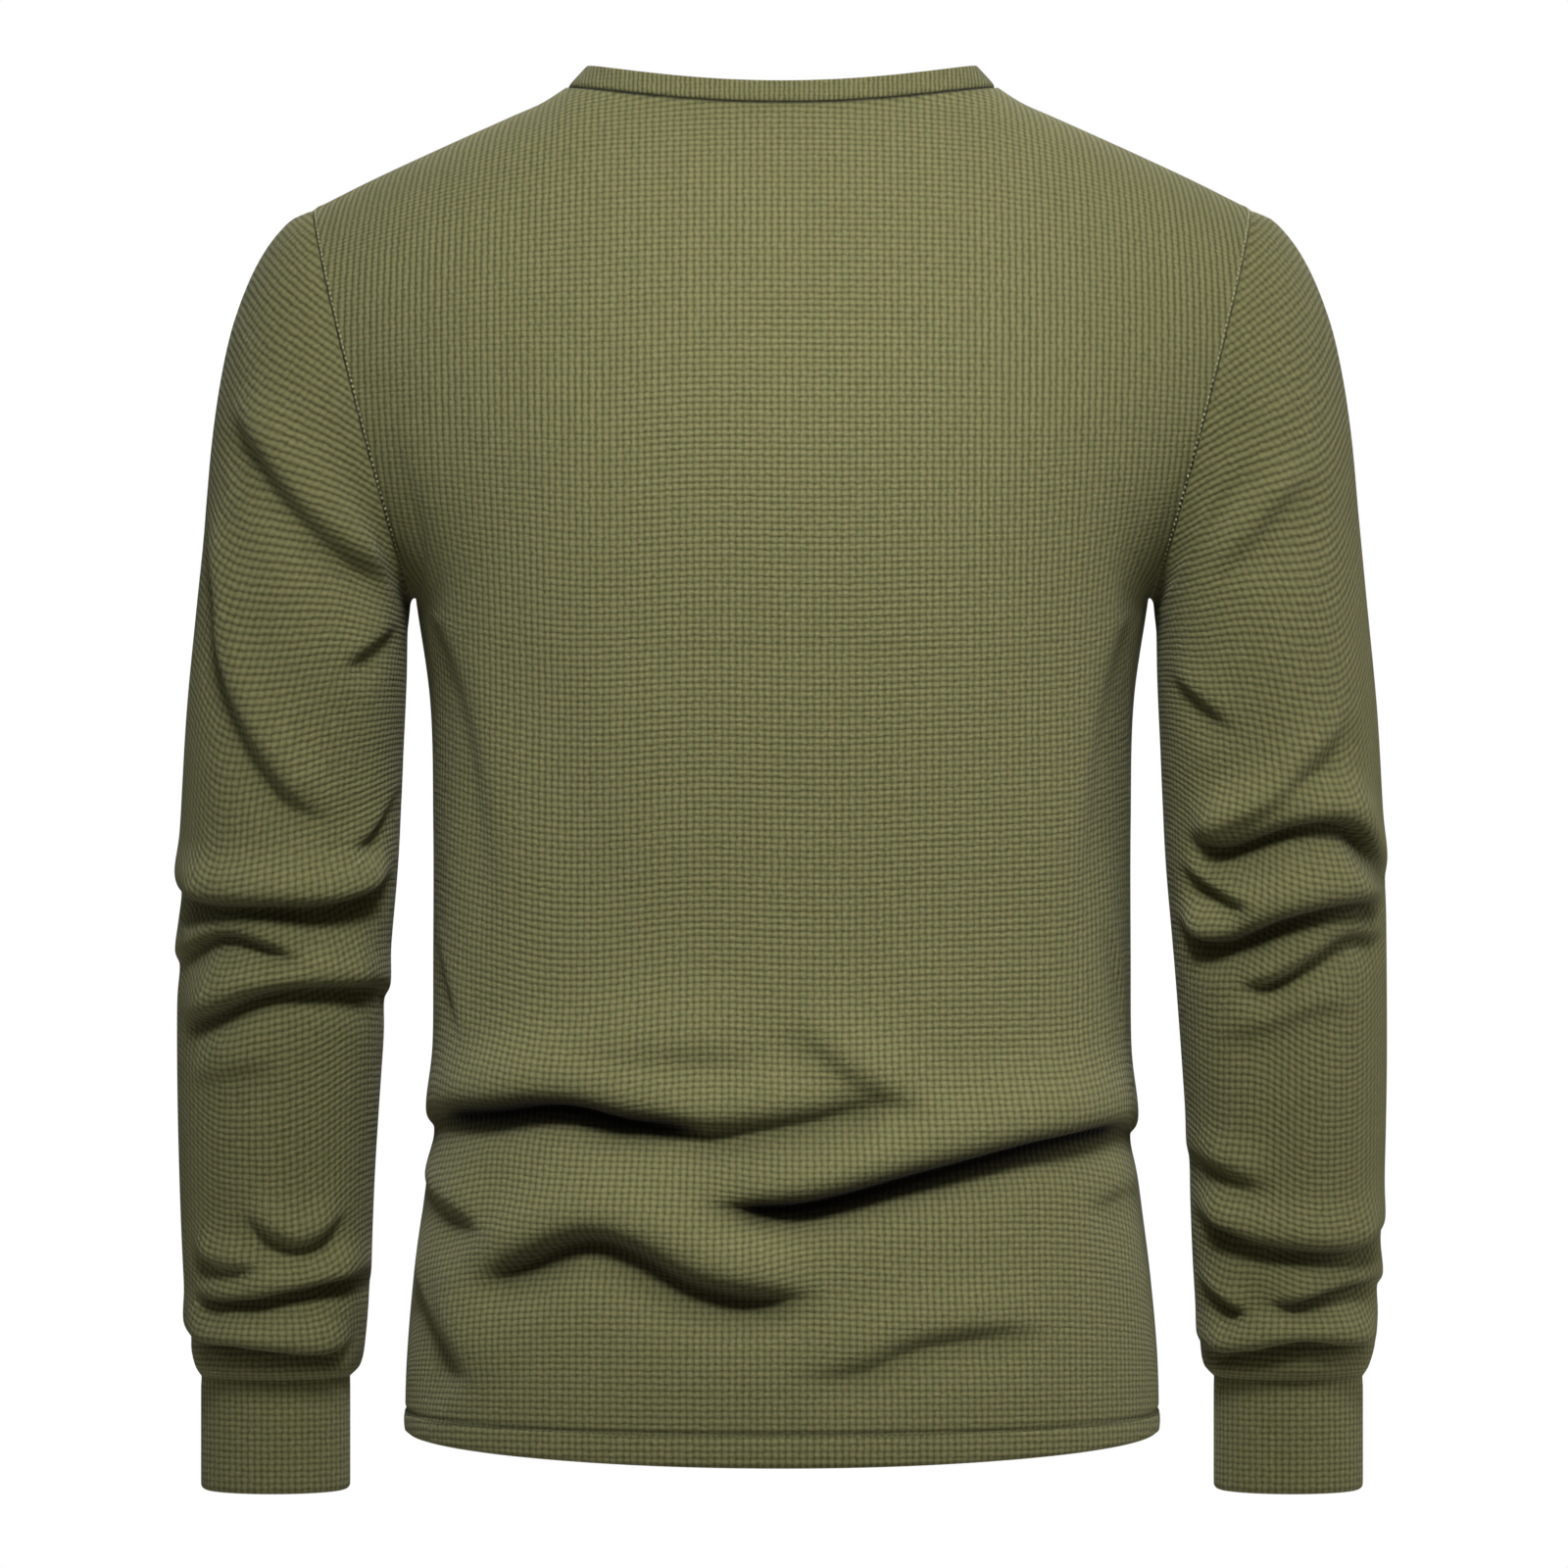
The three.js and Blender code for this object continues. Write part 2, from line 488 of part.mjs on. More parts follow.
// Moves a piece's points by its folds. gripAt(row, turn) is 0 where the cloth is held flat.
function foldPiece(piece, folds, radius, gripAt) {
  return piece.grid.map((row, i) =>
    row.map((p, j) => {
      const shift = foldShift(folds, piece.turns[j], p.z, radius);
      const grip = gripAt(i, piece.turns[j]);
      const moved = p.clone().addScaledVector(piece.normals[i][j], shift.out * grip);
      moved.z -= shift.down * grip;
      return moved;
    }),
  );
}

const group = new THREE.Group();
function addPiece(name, geometry, color = 0x7d7b55, roughness = 0.92) {
  const mesh = new THREE.Mesh(geometry, new THREE.MeshStandardMaterial({ color, roughness, metalness: 0 }));
  mesh.name = name;
  group.add(mesh);
}

// Body panels
const lowerLevels = LOWER_ROWS.map((z) => (z - LOWER_ROWS[0]) / (LOWER_ROWS.at(-1) - LOWER_ROWS[0]));
const upperLevels = Array.from({ length: UPPER_ROWS }, (_, i) => 1 + (i + 1) / UPPER_ROWS);
const bodyLevels = [...lowerLevels, ...upperLevels];
const panelTurns = (first) => Array.from({ length: BODY_COLUMNS + 1 }, (_, j) => first - COLUMN_TURN * j);
const panel = (side, first) => {
  const turns = panelTurns(first);
  return { turns, grid: gridOf(bodyLevels, turns, (turn, level) => bodyPoint(side, turn, level)) };
};
const back = panel(BACK, 90);
const front = panel(FRONT, 270);
const centre = BODY_COLUMNS / 2;
const notchRow = lowerLevels.length - 1 + NOTCH_ROW;

// Sleeves, with as many columns as the armhole has points
const sleeveTurns = Array.from({ length: 2 * UPPER_ROWS }, (_, j) => (180 * j) / UPPER_ROWS);
const mirrored = (p) => new THREE.Vector3(-p.x, p.y, p.z);
const backwards = sleeveTurns.map((turn) => (360 - turn) % 360);
const sleeveLeft = { turns: sleeveTurns, wraps: true, grid: gridOf(SLEEVE_ROWS, sleeveTurns, sleevePoint) };
const sleeveRight = {
  turns: backwards, wraps: true, grid: gridOf(SLEEVE_ROWS, backwards, (t, z) => mirrored(sleevePoint(t, z))),
};
const mainPieces = [back, front, sleeveLeft, sleeveRight];

// Folds: held at the neckline, the shoulder seams and the armholes, and at the cuffs
sharedNormals(mainPieces);
const bodyGrip = (i, turn) => {
  const fromSide = 90 - Math.min(Math.abs(turn), Math.abs(180 - turn));
  const above = clamp01(bodyLevels[i] - 1);
  return above === 0 ? 1 : smooth((1 - above) / 0.3) * Math.max(smooth(fromSide / 20), 1 - smooth(above / 0.02));
};
const sleeveGrip = (i) => smooth((SLEEVE_ROWS[0] - SLEEVE_ROWS[i]) / 60) * smooth((SLEEVE_ROWS[i] + 632) / 9);
back.grid = foldPiece(back, BODY_FOLDS, BODY_FOLD_RADIUS, bodyGrip);
front.grid = foldPiece(front, BODY_FOLDS, BODY_FOLD_RADIUS, bodyGrip);
sleeveLeft.grid = foldPiece(sleeveLeft, LEFT_SLEEVE_FOLDS, SLEEVE_FOLD_RADIUS, sleeveGrip);
sleeveRight.grid = foldPiece(sleeveRight, RIGHT_SLEEVE_FOLDS, SLEEVE_FOLD_RADIUS, sleeveGrip);

// Cuffs, from the sleeve's last ring down
function cuffOf(sleeve, sign) {
  const ring = (z) => sleeve.turns.map((turn) => {
    const x = CUFF.x - CUFF.halfWidth * Math.cos(turn * RAD);
    return new THREE.Vector3(sign * x, CUFF.y + CUFF.depth * Math.sin(turn * RAD), z);
  });
  return { wraps: true, grid: [sleeve.grid.at(-1), ring(-641), ring(-662), ring(CUFF.bottom)] };
}
const cuffLeft = cuffOf(sleeveLeft, 1);
const cuffRight = cuffOf(sleeveRight, -1);

// Neckband: from under the placket's overlap round the wearer's right, the back and the left, and over
const neckRow = (piece) => piece.grid.at(-1).slice(centre - NECK_COLUMNS, centre + NECK_COLUMNS + 1).reverse();
const frontNeck = neckRow(front);
const backNeck = neckRow(back);
const frontRight = frontNeck.slice(NECK_COLUMNS + 1);
const bandSeam = [
  frontNeck[NECK_COLUMNS - 1].clone().lerp(frontNeck[NECK_COLUMNS], 0.08), frontNeck[NECK_COLUMNS],
  frontRight[0], frontRight[0].clone().lerp(frontRight[1], 0.25), ...frontRight.slice(1),
  ...backNeck.slice(1, -1), ...frontNeck.slice(0, NECK_COLUMNS + 1),
  frontRight[0].clone().lerp(frontNeck[NECK_COLUMNS], 0.002),
];
const UNDER_POINTS = 3; // the first points of the band lie behind its other end
const bandDirection = (p) => {
  const depth = p.y > NECK_POINT_Y ? BACK.neckDepth : FRONT.neckDepth;
  const inward = new THREE.Vector3(-p.x / NECK_HALF_WIDTH ** 2, (NECK_POINT_Y - p.y) / depth ** 2, 0);
  return inward.normalize().multiplyScalar(BAND_LEAN).setZ(Math.sqrt(1 - BAND_LEAN ** 2));
};
const band = {
  grid: [1, 0.5, 0].map((up) => bandSeam.map((p) => p.clone().addScaledVector(bandDirection(p), up * BAND_HEIGHT))),
};

sharedNormals([...mainPieces, cuffLeft, cuffRight, band]);
band.grid = band.grid.map((row, i) =>
  row.map((p, j) => (j < UNDER_POINTS ? p.clone().addScaledVector(band.normals[i][j], -UNDER_DEPTH) : p)),
);

// Placket: the overlap in the notch of the front, the underlap behind it and behind the notch's edge
const placketRows = front.grid.slice(notchRow);
const placketNormals = front.normals.slice(notchRow);
const columnsOf = (rows, columns) =>
  rows.map((row) => columns.map(([from, to, t]) => row[from].clone().lerp(row[to], t)));
const overColumns = [[centre - 1, centre, 0], [centre, centre, 0], [centre + 1, centre, 0]];
const underColumns = [
  [centre - 1, centre - 2, 0.14], [centre - 1, centre, 0], [centre, centre, 0], [centre, centre + 1, 0.93],
];
const placketOver = {
  grid: columnsOf(placketRows, overColumns), normals: columnsOf(placketNormals, overColumns),
};
const placketUnder = {
  grid: columnsOf(placketRows, underColumns), normals: columnsOf(placketNormals, underColumns),
};

const bodyWall = (p) => (p.z < HEM.top ? HEM_WALL : WALL);
front.keep = (i, j) => i < notchRow || j < centre - 1 || j > centre;
addPiece("back", wallOf(back, bodyWall));
addPiece("front", wallOf(front, bodyWall));
addPiece("sleeve_left", wallOf(sleeveLeft, () => WALL));
addPiece("sleeve_right", wallOf(sleeveRight, () => WALL));
addPiece("cuff_left", wallOf(cuffLeft, () => CUFF_WALL));
addPiece("cuff_right", wallOf(cuffRight, () => CUFF_WALL));
addPiece("neckband", wallOf(band, () => CUFF_WALL));
addPiece("placket_over", wallOf(placketOver, () => PLACKET_WALL, PLACKET_PROUD));
addPiece("placket_under", wallOf(placketUnder, () => PLACKET_WALL, PLACKET_PROUD - PLACKET_WALL - 0.4));

// Buttons: a rimmed disc with four holes, set on the overlap
const wasm = await Module();
wasm.setup();
function buttonSolid() {
  const { Manifold, CrossSection } = wasm;
  const { radius, thickness, rim, hole, holeSpread } = BUTTON;
  const profile = [
    [0, 0], [radius - 0.5, 0], [radius, 0.5], [radius, thickness - 0.5], [radius - 0.5, thickness],
    [radius - 1.6, thickness], [radius - 2.2, thickness - rim], [0, thickness - rim],
  ];
  let solid = Manifold.revolve(new CrossSection([profile]), 16);
  for (const [x, y] of [[1, 1], [1, -1], [-1, 1], [-1, -1]]) {
    const drill = Manifold.cylinder(3 * thickness, hole, hole, 5);
    solid = solid.subtract(drill.translate([x * holeSpread, y * holeSpread, -thickness]));
  }
  const mesh = solid.getMesh();
  const points = [];
  for (const v of mesh.triVerts) points.push(...mesh.vertProperties.slice(v * mesh.numProp, v * mesh.numProp + 3));
  return solidOf(points);
}
const buttonGeometry = buttonSolid();
BUTTON_ROWS.forEach(({ row, share }, k) => {
  const p = placketOver.grid[row][1].clone().lerp(placketOver.grid[row + 1][1], share);
  const normal = placketOver.normals[row][1].clone().lerp(placketOver.normals[row + 1][1], share).normalize();
  const turned = new THREE.Quaternion().setFromUnitVectors(new THREE.Vector3(0, 0, 1), normal);
  p.addScaledVector(normal, PLACKET_PROUD + SEAM_GAP);
  const placed = new THREE.Matrix4().compose(p, turned, new THREE.Vector3(1, 1, 1));
  addPiece(`button_${k + 1}`, buttonGeometry.clone().applyMatrix4(placed), 0x4d4a33, 0.4);
});

export default group;
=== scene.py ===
"""A long-sleeved henley in waffle knit, worn by nobody, seen from behind.

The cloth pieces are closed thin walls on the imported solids' form, with the folds, seams, waffle and
stitches that the solids leave out. Lengths in the tables are in millimetres, as in the solids' source.
"""

import math

import bpy
import numpy as np
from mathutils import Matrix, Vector


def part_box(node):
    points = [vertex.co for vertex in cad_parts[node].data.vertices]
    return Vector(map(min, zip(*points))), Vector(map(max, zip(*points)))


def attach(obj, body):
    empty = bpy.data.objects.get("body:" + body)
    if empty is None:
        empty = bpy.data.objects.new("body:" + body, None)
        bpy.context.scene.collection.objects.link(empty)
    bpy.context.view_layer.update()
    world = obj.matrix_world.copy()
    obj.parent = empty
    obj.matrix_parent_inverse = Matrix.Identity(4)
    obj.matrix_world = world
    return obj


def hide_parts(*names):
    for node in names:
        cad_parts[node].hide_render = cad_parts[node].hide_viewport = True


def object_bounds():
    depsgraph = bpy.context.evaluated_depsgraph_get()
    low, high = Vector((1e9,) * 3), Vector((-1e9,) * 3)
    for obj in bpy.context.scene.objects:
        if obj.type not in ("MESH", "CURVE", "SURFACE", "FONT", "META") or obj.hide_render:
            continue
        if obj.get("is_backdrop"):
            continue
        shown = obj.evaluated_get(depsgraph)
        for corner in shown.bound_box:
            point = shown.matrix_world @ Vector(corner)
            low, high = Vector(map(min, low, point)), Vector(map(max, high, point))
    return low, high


MM = 0.001
RAD = math.pi / 180

# Cloth and seams
WALL = 1.6
HEM_WALL = 2.4
CUFF_WALL = 2.2
SEAM_GAP = 0.2
SEAM_DIP = 1.5  # a seam lies this far in
SEAM_WIDTH = 1.3
SEAM_RIDGE = 0.35  # the cloth beside it swells by this
ARMHOLE_DIP, ARMHOLE_RIDGE = 0.35, 0.5  # the armhole's seam is pressed to the body's side
NECK_SHADE, HEM_SHADE = 0.95, 0.55  # how dark the painted shade lies along the seam under the neckband and along the hem's stitches
HEM_SIDE, HEM_BACK, HEM_FRONT = -656.0, -664.5, -660.0
HEM_DEPTH_CENTRE, HEM_DEPTH_SIDE = 16.5, 11.0
HEM_GROOVE = 0.9  # the hem's stitches draw the cloth in by this
HEM_PUFF = 0.5
HEM_ROUND = 1.6

# Body
ARMPIT_X, ARMPIT_Z = 179.5, -249.0
SHOULDER_X, SHOULDER_Z = 229.0, -59.0
NECK_HALF_WIDTH = 105.0
NECK_POINT_Y = 12.0
ARMPIT_ROW_DIP = 26.0
BODY_SQUARENESS = 2.4
CENTRE_ROW = -275.0  # height of the armpit row at the centre
COLUMN_TURN = 180 / 28
NECK_TURN = 6 * COLUMN_TURN
NOTCH = 0.25  # where the placket ends, of the way from the armpit row to the top edge

# Front opening
PLACKET_HALF_WIDTH = 14.0
PLACKET_PROUD = 0.5
PLACKET_WALL = 2.2
UNDER_DEPTH = 2.7

# Neckband and cuffs
BAND_HEIGHT = 15.0
BAND_LEAN = 0.68
BAND_PUFF = 1.3
BAND_CURL = 1.8  # the top edge turns in by this
CUFF_X, CUFF_Y, CUFF_HALF_WIDTH, CUFF_DEPTH = 250.0, -29.5, 36.0, 31.0
CUFF_TOP, CUFF_BOTTOM = -632.0, -688.0
CUFF_ROUND = 3.0
CUFF_PUFF = 0.8

# Folds
BODY_FOLD_RADIUS, SLEEVE_FOLD_RADIUS = 140.0, 54.0  # a turn is this far round the cloth
SIDE_CALM = 0.75  # how much lower the folds are where the cloth turns away at the sides
LIP_SHARE = 0.55  # how far a crest's hang moves its crease down, of the hang
HANG = 0.7
FULL_LIP = 11.0  # a crest that hangs this far closes its crease, and the painted shade under it is at full strength
LET_OUT = 620.0  # the length that the folds take up is let out over this much of a column

# Grids: rows of the body above and below the height where its creases start, and of the sleeves
CREASED_TOP = -462
CREASED_ROWS, PLAIN_ROWS, CHEST_ROWS = 128, 44, 72
SLEEVE_ROWS = [  # from height, to height, count
    (-76, -330, 70),
    (-332, -464, 84),
    (-467.5, -538, 24),
    (-539.5, -618, 56),
]

# Stitches: length, gap and half the thread's thickness
STITCHES = (2.5, 0.7, 0.32)
ARMHOLE_STITCHES = (1.7, 1.1, 0.5)
BUTTONHOLE_STITCHES = (0.8, 0.3, 0.3)
ARMHOLE_LINE, PLACKET_LINE = 1.5, 1.6  # how far the stitches lie from the seam
PLACKET_BAR = 12.0  # the second line across the placket's end
SEWN_LEVELS = (1.004, 1.955)  # the armhole's rows of stitches, short of the shoulder point

# Buttons
BUTTON_THICK, BUTTON_RIM = 2.6, 0.6
BUTTON_HOLE, BUTTON_SPREAD, BUTTON_DRILL = 0.8, 1.5, 1.7
BUTTONHOLE_HALF = 8

# Colours, in linear light
THREAD_COLOUR = (0.13, 0.128, 0.06)
# thread of the armhole's stitches: real stitches, coloured paler than the cloth as a painted highlight on
# the seam's ridge
THREAD_HIGHLIGHT_COLOUR = (0.46, 0.46, 0.27)
BUTTON_COLOUR = (0.075, 0.066, 0.036)
FLOOR_COLOUR = (0.88, 0.88, 0.87)
# painted shade in the knit's pits: the darker colour that the low parts of the waffle take
KNIT_PIT_SHADE = (0.084, 0.077, 0.028)
KNIT_GREEN = (0.275, 0.292, 0.124)
KNIT_BROWN = (0.335, 0.304, 0.142)
KNIT_PAINTED_SHADE = (0.005, 0.004, 0.002)  # painted shade: the colour at the bottom of a closed crease, and along the neckband's seam and the hem's stitches

# Body sections: height at the side seam, half width, depth of the back, depth of the front
BODY_SECTIONS = [
    (-660, 184.5, 119, 116),
    (-620, 183.5, 118, 115),
    (-580, 180, 114, 114),
    (-530, 174, 108, 113),
    (-480, 171, 102, 113),
    (-420, 170.5, 99, 114),
    (-360, 170.5, 103, 117),
    (-300, 172, 109, 121),
    (-249, 179.5, 113, 124),
]
# Shoulder seam: x, z, y
SHOULDER_RIDGE = [
    (105, 0, 12),
    (117, -7.5, 9),
    (131, -13.5, 6),
    (164, -28, 2),
    (200, -44.5, 0),
    (229, -59, 0),
]
BACK = {
    "sign": 1, "neck_depth": 50, "neck_drop": 11, "neck_square": 1, "neck_round": 2.2, "armhole_depth": 62,
    "armhole_bow": 2, "fall": 2.4, "first_psi": 15, "fullness": [(0, 1), (0.35, 1.06), (1, 0.98)],
}
FRONT = {
    "sign": -1, "neck_depth": 94, "neck_drop": 84, "neck_square": 0.8, "neck_round": 2, "armhole_depth": 60,
    "armhole_bow": -9, "fall": 2.1, "first_psi": 7.66, "fullness": [(0, 1), (0.35, 1.03), (1, 0.95)],
}
# Sleeve rings: height of the outermost point, its x, x and height of the innermost point, half depth, y
SLEEVE_RINGS = [
    (-59, 229, 179.5, -249, 61, 1),
    (-64.5, 240.5, 181.4, -249.4, 62, 1),
    (-83, 255, 183, -252, 63, 1),
    (-111, 267, 183, -258, 64, 1),
    (-137, 273.5, 183.6, -265, 64, 1),
    (-170, 278.5, 183.8, -274, 64, 1),
    (-208, 282, 184, -286, 63, 1),
    (-250, 286, 184.6, -302, 62, 1),
    (-301, 291, 185.6, -322, 60, 0),
    (-340, 293.5, 186.6, -345, 58, -1),
    (-380, 295.5, 188.5, -380, 56, -3),
    (-430, 296.5, 193, -430, 53.5, -7),
    (-480, 297, 197, -480, 51.5, -12),
    (-530, 296.5, 200.5, -530, 49, -18),
    (-580, 295, 203, -580, 47, -24),
    (-616, 292.5, 206, -616, 44.5, -28),
    (-627, 289.5, 208.5, -627, 40, -29),
    (-632, 286.5, 213.5, -632, 32.5, -29.5),
]

# Folds: the line on the cloth as (turn, z), then crest and dip (how far out and in), rise and fall
# (how wide), lip (how far the crest hangs down) and taper (the share of the line that each end takes)
BODY_FOLDS = [
    # the long roll over the seat, from the wearer's left side
    ([(118, -522), (104, -514), (88, -512), (70, -506), (51, -499), (36, -495), (24, -502), (12, -507),
      (4, -507)], 10, 15, 12, 7, 11, 0.22),
    ([(24, -505), (10, -506), (-2, -501), (-12, -495), (-22, -491)], 5, 13, 6, 8, 4.5, 0.35),
    # the diagonal roll up to the wearer's right side
    ([(14, -549), (-6, -540), (-24, -526), (-44, -513), (-62, -510), (-90, -516), (-114, -524)],
     10, 16, 12, 6.5, 11, 0.15),
    # the arched one below them
    ([(51, -590), (42, -572), (31, -558), (24, -562), (14, -578), (2, -586), (-8, -588)],
     8, 14, 10, 7.5, 6.5, 0.25),
    ([(0, -626), (-12, -619), (-20, -608), (-32, -603), (-44, -606)], 3.5, 12, 4, 7, 1.5, 0.35),
    # short ones at the wearer's left side
    ([(94, -531), (74, -542), (59, -550), (48, -560)], 6, 10, 7, 7, 3.5, 0.3),
    ([(88, -572), (74, -590), (62, -610), (52, -632)], 6, 12, 8, 9, 3, 0.35),
    ([(78, -412), (70, -432), (64, -452), (61, -470)], 2.5, 9, 4, 6, 0, 0.4),
    ([(70, -566), (64, -590), (58, -612), (52, -640)], 3, 17, 6, 19, 0, 0.3),
    # soft creases that run into the long rolls
    ([(2, -452), (-5, -468), (-11, -482), (-18, -493), (-27, -499)], 3.5, 13, 4.5, 8, 1, 0.4),
    ([(40, -462), (28, -470), (14, -474), (0, -476)], 3, 16, 2.5, 12, 0, 0.4),
    ([(-50, -548), (-66, -540), (-84, -542)], 3, 11, 3.5, 7, 1, 0.4),
    ([(-60, -402), (-66, -425), (-70, -450), (-73, -470)], 2, 8, 3, 5, 0, 0.4),
    # soft hollows down from the armholes
    ([(85, -150), (82, -190), (79, -225), (80, -268)], 3, 9, 6, 5.5, 5, 0.35),
    ([(88, -141), (80, -195), (71, -247), (61, -300), (55, -360), (53, -430)], 2.5, 20, 4.5, 15, 0, 0.3),
    ([(-87, -150), (-79, -200), (-69, -250), (-61, -310), (-57, -380), (-56, -440)], 2, 20, 3.5, 15, 0, 0.3),
    ([(30, -250), (34, -310), (32, -370), (26, -420)], 1.5, 26, 1.5, 20, 0, 0.4),
    # the same slack over the belly
    ([(100, -500), (118, -506), (140, -500), (160, -508), (182, -520)], 8, 14, 9, 7, 5, 0.22),
    ([(176, -560), (196, -548), (216, -538), (238, -525), (260, -512)], 8, 14, 9, 7, 5, 0.22),
    ([(112, -570), (130, -580), (152, -578), (172, -592)], 5, 13, 6, 7, 2, 0.3),
    ([(196, -604), (214, -596), (236, -598), (250, -606)], 3.5, 12, 4, 8, 1, 0.35),
    # soft hollows down from the front armholes
    ([(94, -160), (102, -205), (112, -250), (121, -305), (126, -370)], 2.5, 20, 4, 15, 0, 0.3),
    ([(266, -160), (258, -205), (248, -250), (239, -305), (234, -370)], 2.5, 20, 4, 15, 0, 0.3),
]
LEFT_SLEEVE_FOLDS = [
    ([(150, -158), (123, -181), (104, -201), (79, -223), (55, -237), (30, -248)], 5, 12, 6, 7, 0, 0.22),
    ([(172, -200), (146, -247), (139, -274), (126, -299), (104, -331), (85, -351), (60, -363)],
     5, 11, 5.5, 6, 1, 0.2),
    ([(66, -288), (40, -274), (14, -262)], 2, 8, 4, 5, 0, 0.35),
    ([(56, -374), (38, -367), (20, -352), (4, -338)], 2, 7, 5, 5, 1, 0.35),
    # the elbow
    ([(205, -380), (178, -392), (150, -398), (99, -400), (65, -400), (35, -394), (5, -388)],
     8, 10, 8, 6, 6, 0.15),
    ([(200, -432), (157, -426), (125, -415), (98, -419), (72, -430)], 5, 8, 6, 5, 4, 0.22),
    ([(160, -466), (125, -452), (89, -441), (40, -440), (0, -446), (-30, -452)], 6, 9, 7, 5.5, 5, 0.2),
    ([(150, -492), (118, -484), (80, -478)], 2, 10, 2, 8, 0, 0.4),
    # above the cuff
    ([(112, -548), (84, -564), (62, -564), (36, -549)], 4, 9, 5, 5, 1, 0.3),
    ([(152, -570), (121, -576), (92, -577)], 4, 7, 5, 5, 1.5, 0.35),
    ([(155, -594), (108, -593), (74, -588), (28, -583), (-10, -590)], 5, 8, 6.5, 4.5, 5, 0.2),
    ([(230, -600), (190, -609), (158, -614), (112, -616), (60, -620), (20, -618)], 6, 8, 7, 4.5, 6, 0.18),
    # the front of the elbow and of the wrist
    ([(350, -372), (320, -386), (285, -392), (250, -384), (222, -370)], 7, 11, 8, 6, 4, 0.22),
    ([(340, -420), (310, -414), (270, -424), (235, -440)], 6, 11, 7, 6, 3, 0.25),
    ([(330, -588), (290, -578), (250, -586), (215, -596)], 5, 9, 6, 5, 2, 0.25),
    ([(345, -200), (318, -225), (290, -262), (262, -300)], 3, 14, 3.5, 10, 0, 0.35),
]
RIGHT_SLEEVE_FOLDS = [
    ([(38, -216), (54, -196), (67, -178), (81, -161), (96, -147)], 3.5, 11, 4, 7, 0, 0.35),
    ([(48, -236), (66, -212), (84, -190), (98, -176)], 2.5, 9, 3, 6, 0, 0.4),
    ([(66, -246), (84, -227), (100, -211), (126, -189)], 4, 11, 4, 7, 0, 0.35),
    ([(70, -318), (44, -300), (18, -286)], 2, 8, 4, 5, 0, 0.35),
    # the elbow
    ([(138, -303), (122, -322), (102, -338), (87, -350), (62, -361), (36, -366)], 4, 9, 5, 7, 0, 0.3),
    ([(30, -370), (60, -372), (98, -362), (125, -361), (150, -379), (185, -392)], 7, 11, 7, 5.5, 6, 0.18),
    ([(22, -380), (42, -390), (60, -396), (78, -399)], 2, 6, 7, 5, 1, 0.3),
    ([(8, -410), (33, -417), (60, -417), (92, -406), (132, -399), (170, -404)], 7, 10, 8, 6, 7, 0.18),
    ([(60, -444), (88, -434), (107, -424), (130, -415), (165, -420)], 4.5, 8, 6, 5, 4, 0.22),
    ([(38, -468), (76, -462), (110, -452), (140, -456)], 2, 10, 2, 8, 0, 0.4),
    # above the cuff
    ([(-20, -520), (23, -526), (52, -532), (84, -541)], 4, 9, 4, 5.5, 0.5, 0.3),
    ([(0, -552), (36, -558), (75, -566), (123, -569), (170, -562), (200, -560)], 6, 10, 7, 6, 5, 0.2),
    ([(8, -584), (26, -589), (46, -596), (64, -601)], 3, 6, 5, 4.5, 1, 0.3),
    ([(70, -598), (96, -593), (126, -587), (160, -586), (200, -592)], 5, 8, 6.5, 4.5, 5, 0.2),
    ([(-20, -612), (21, -620), (60, -618), (96, -613), (134, -616), (180, -618)], 6, 7, 7, 4.5, 5, 0.18),
    # the front of the elbow and of the wrist
    ([(348, -380), (318, -392), (284, -396), (250, -388), (224, -376)], 7, 11, 8, 6, 4, 0.22),
    ([(336, -432), (305, -424), (268, -430), (232, -444)], 6, 11, 7, 6, 3, 0.25),
    ([(328, -580), (290, -572), (252, -580), (218, -592)], 5, 9, 6, 5, 2, 0.25),
    ([(342, -208), (315, -232), (288, -270), (262, -306)], 3, 14, 3.5, 10, 0, 0.35),
]

# Knits: height of a row and width of a rib in metres, and how far each stands out
KNIT = (0.00307, 0.00336, 0.42, 0.62)
BAND_RIB = (0.0028, 0.0024, 0.12, 0.85)

# Studio: name, place, aim, size, power in watts, colour and spread in degrees
LIGHTS = [
    ("key", (-0.05, 1.35, 0.95), (-0.01, 0, -0.36), (0.6, 0.5), 1.6, (0.98, 1, 1), 42),
    ("centre_spot", (0, 1.35, 0.95), (0.01, 0.1, -0.42), (0.3, 0.3), 0.28, (0.98, 1, 1), 27),
    ("overhead", (0.0, 0.55, 1.3), (0, 0.05, 0), (0.4, 0.4), 5.6, (0.99, 1, 0.99), 180),
    ("left_box", (2.2, 0.3, 0.3), (0.2, 0, -0.3), (0.6, 1.4), 4, (0.93, 0.98, 1), 180),
    ("right_box", (-2.2, 0.15, 0.2), (-0.2, 0, -0.3), (0.6, 1.4), 15.5, (1, 0.99, 0.96), 180),
    ("front_fill", (0, -2.6, 1.6), (0, 0, -0.3), (2.0, 2.0), 85, (1, 0.96, 0.88), 180),
]
WORLD_COLOUR, WORLD_STRENGTH = (1, 0.94, 0.8, 1), 0.015
FLOOR_RADIUS, FLOOR_Z = 6.4, -1.45
CAMERA_AT, CAMERA_LENS, CAMERA_SENSOR = (-0.001, 3.6, -0.34), 168.75, 36


def clamp01(t):
    return np.clip(t, 0.0, 1.0)


def smooth(t):
    t = clamp01(t)
    return t * t * (3 - 2 * t)


def mix(a, b, t):
    return a + (b - a) * t


def unit(v):
    return v / np.maximum(np.linalg.norm(v, axis=-1, keepdims=True), 1e-9)


def run_of(points):
    """How far along a line of points each one lies."""
    return np.append(0, np.cumsum(np.linalg.norm(np.diff(points, axis=0), axis=1)))


def along_line(points, run, at):
    """The values of a line of points at the lengths given."""
    return np.stack([np.interp(at, run, points[:, k]) for k in range(points.shape[1])], axis=-1)


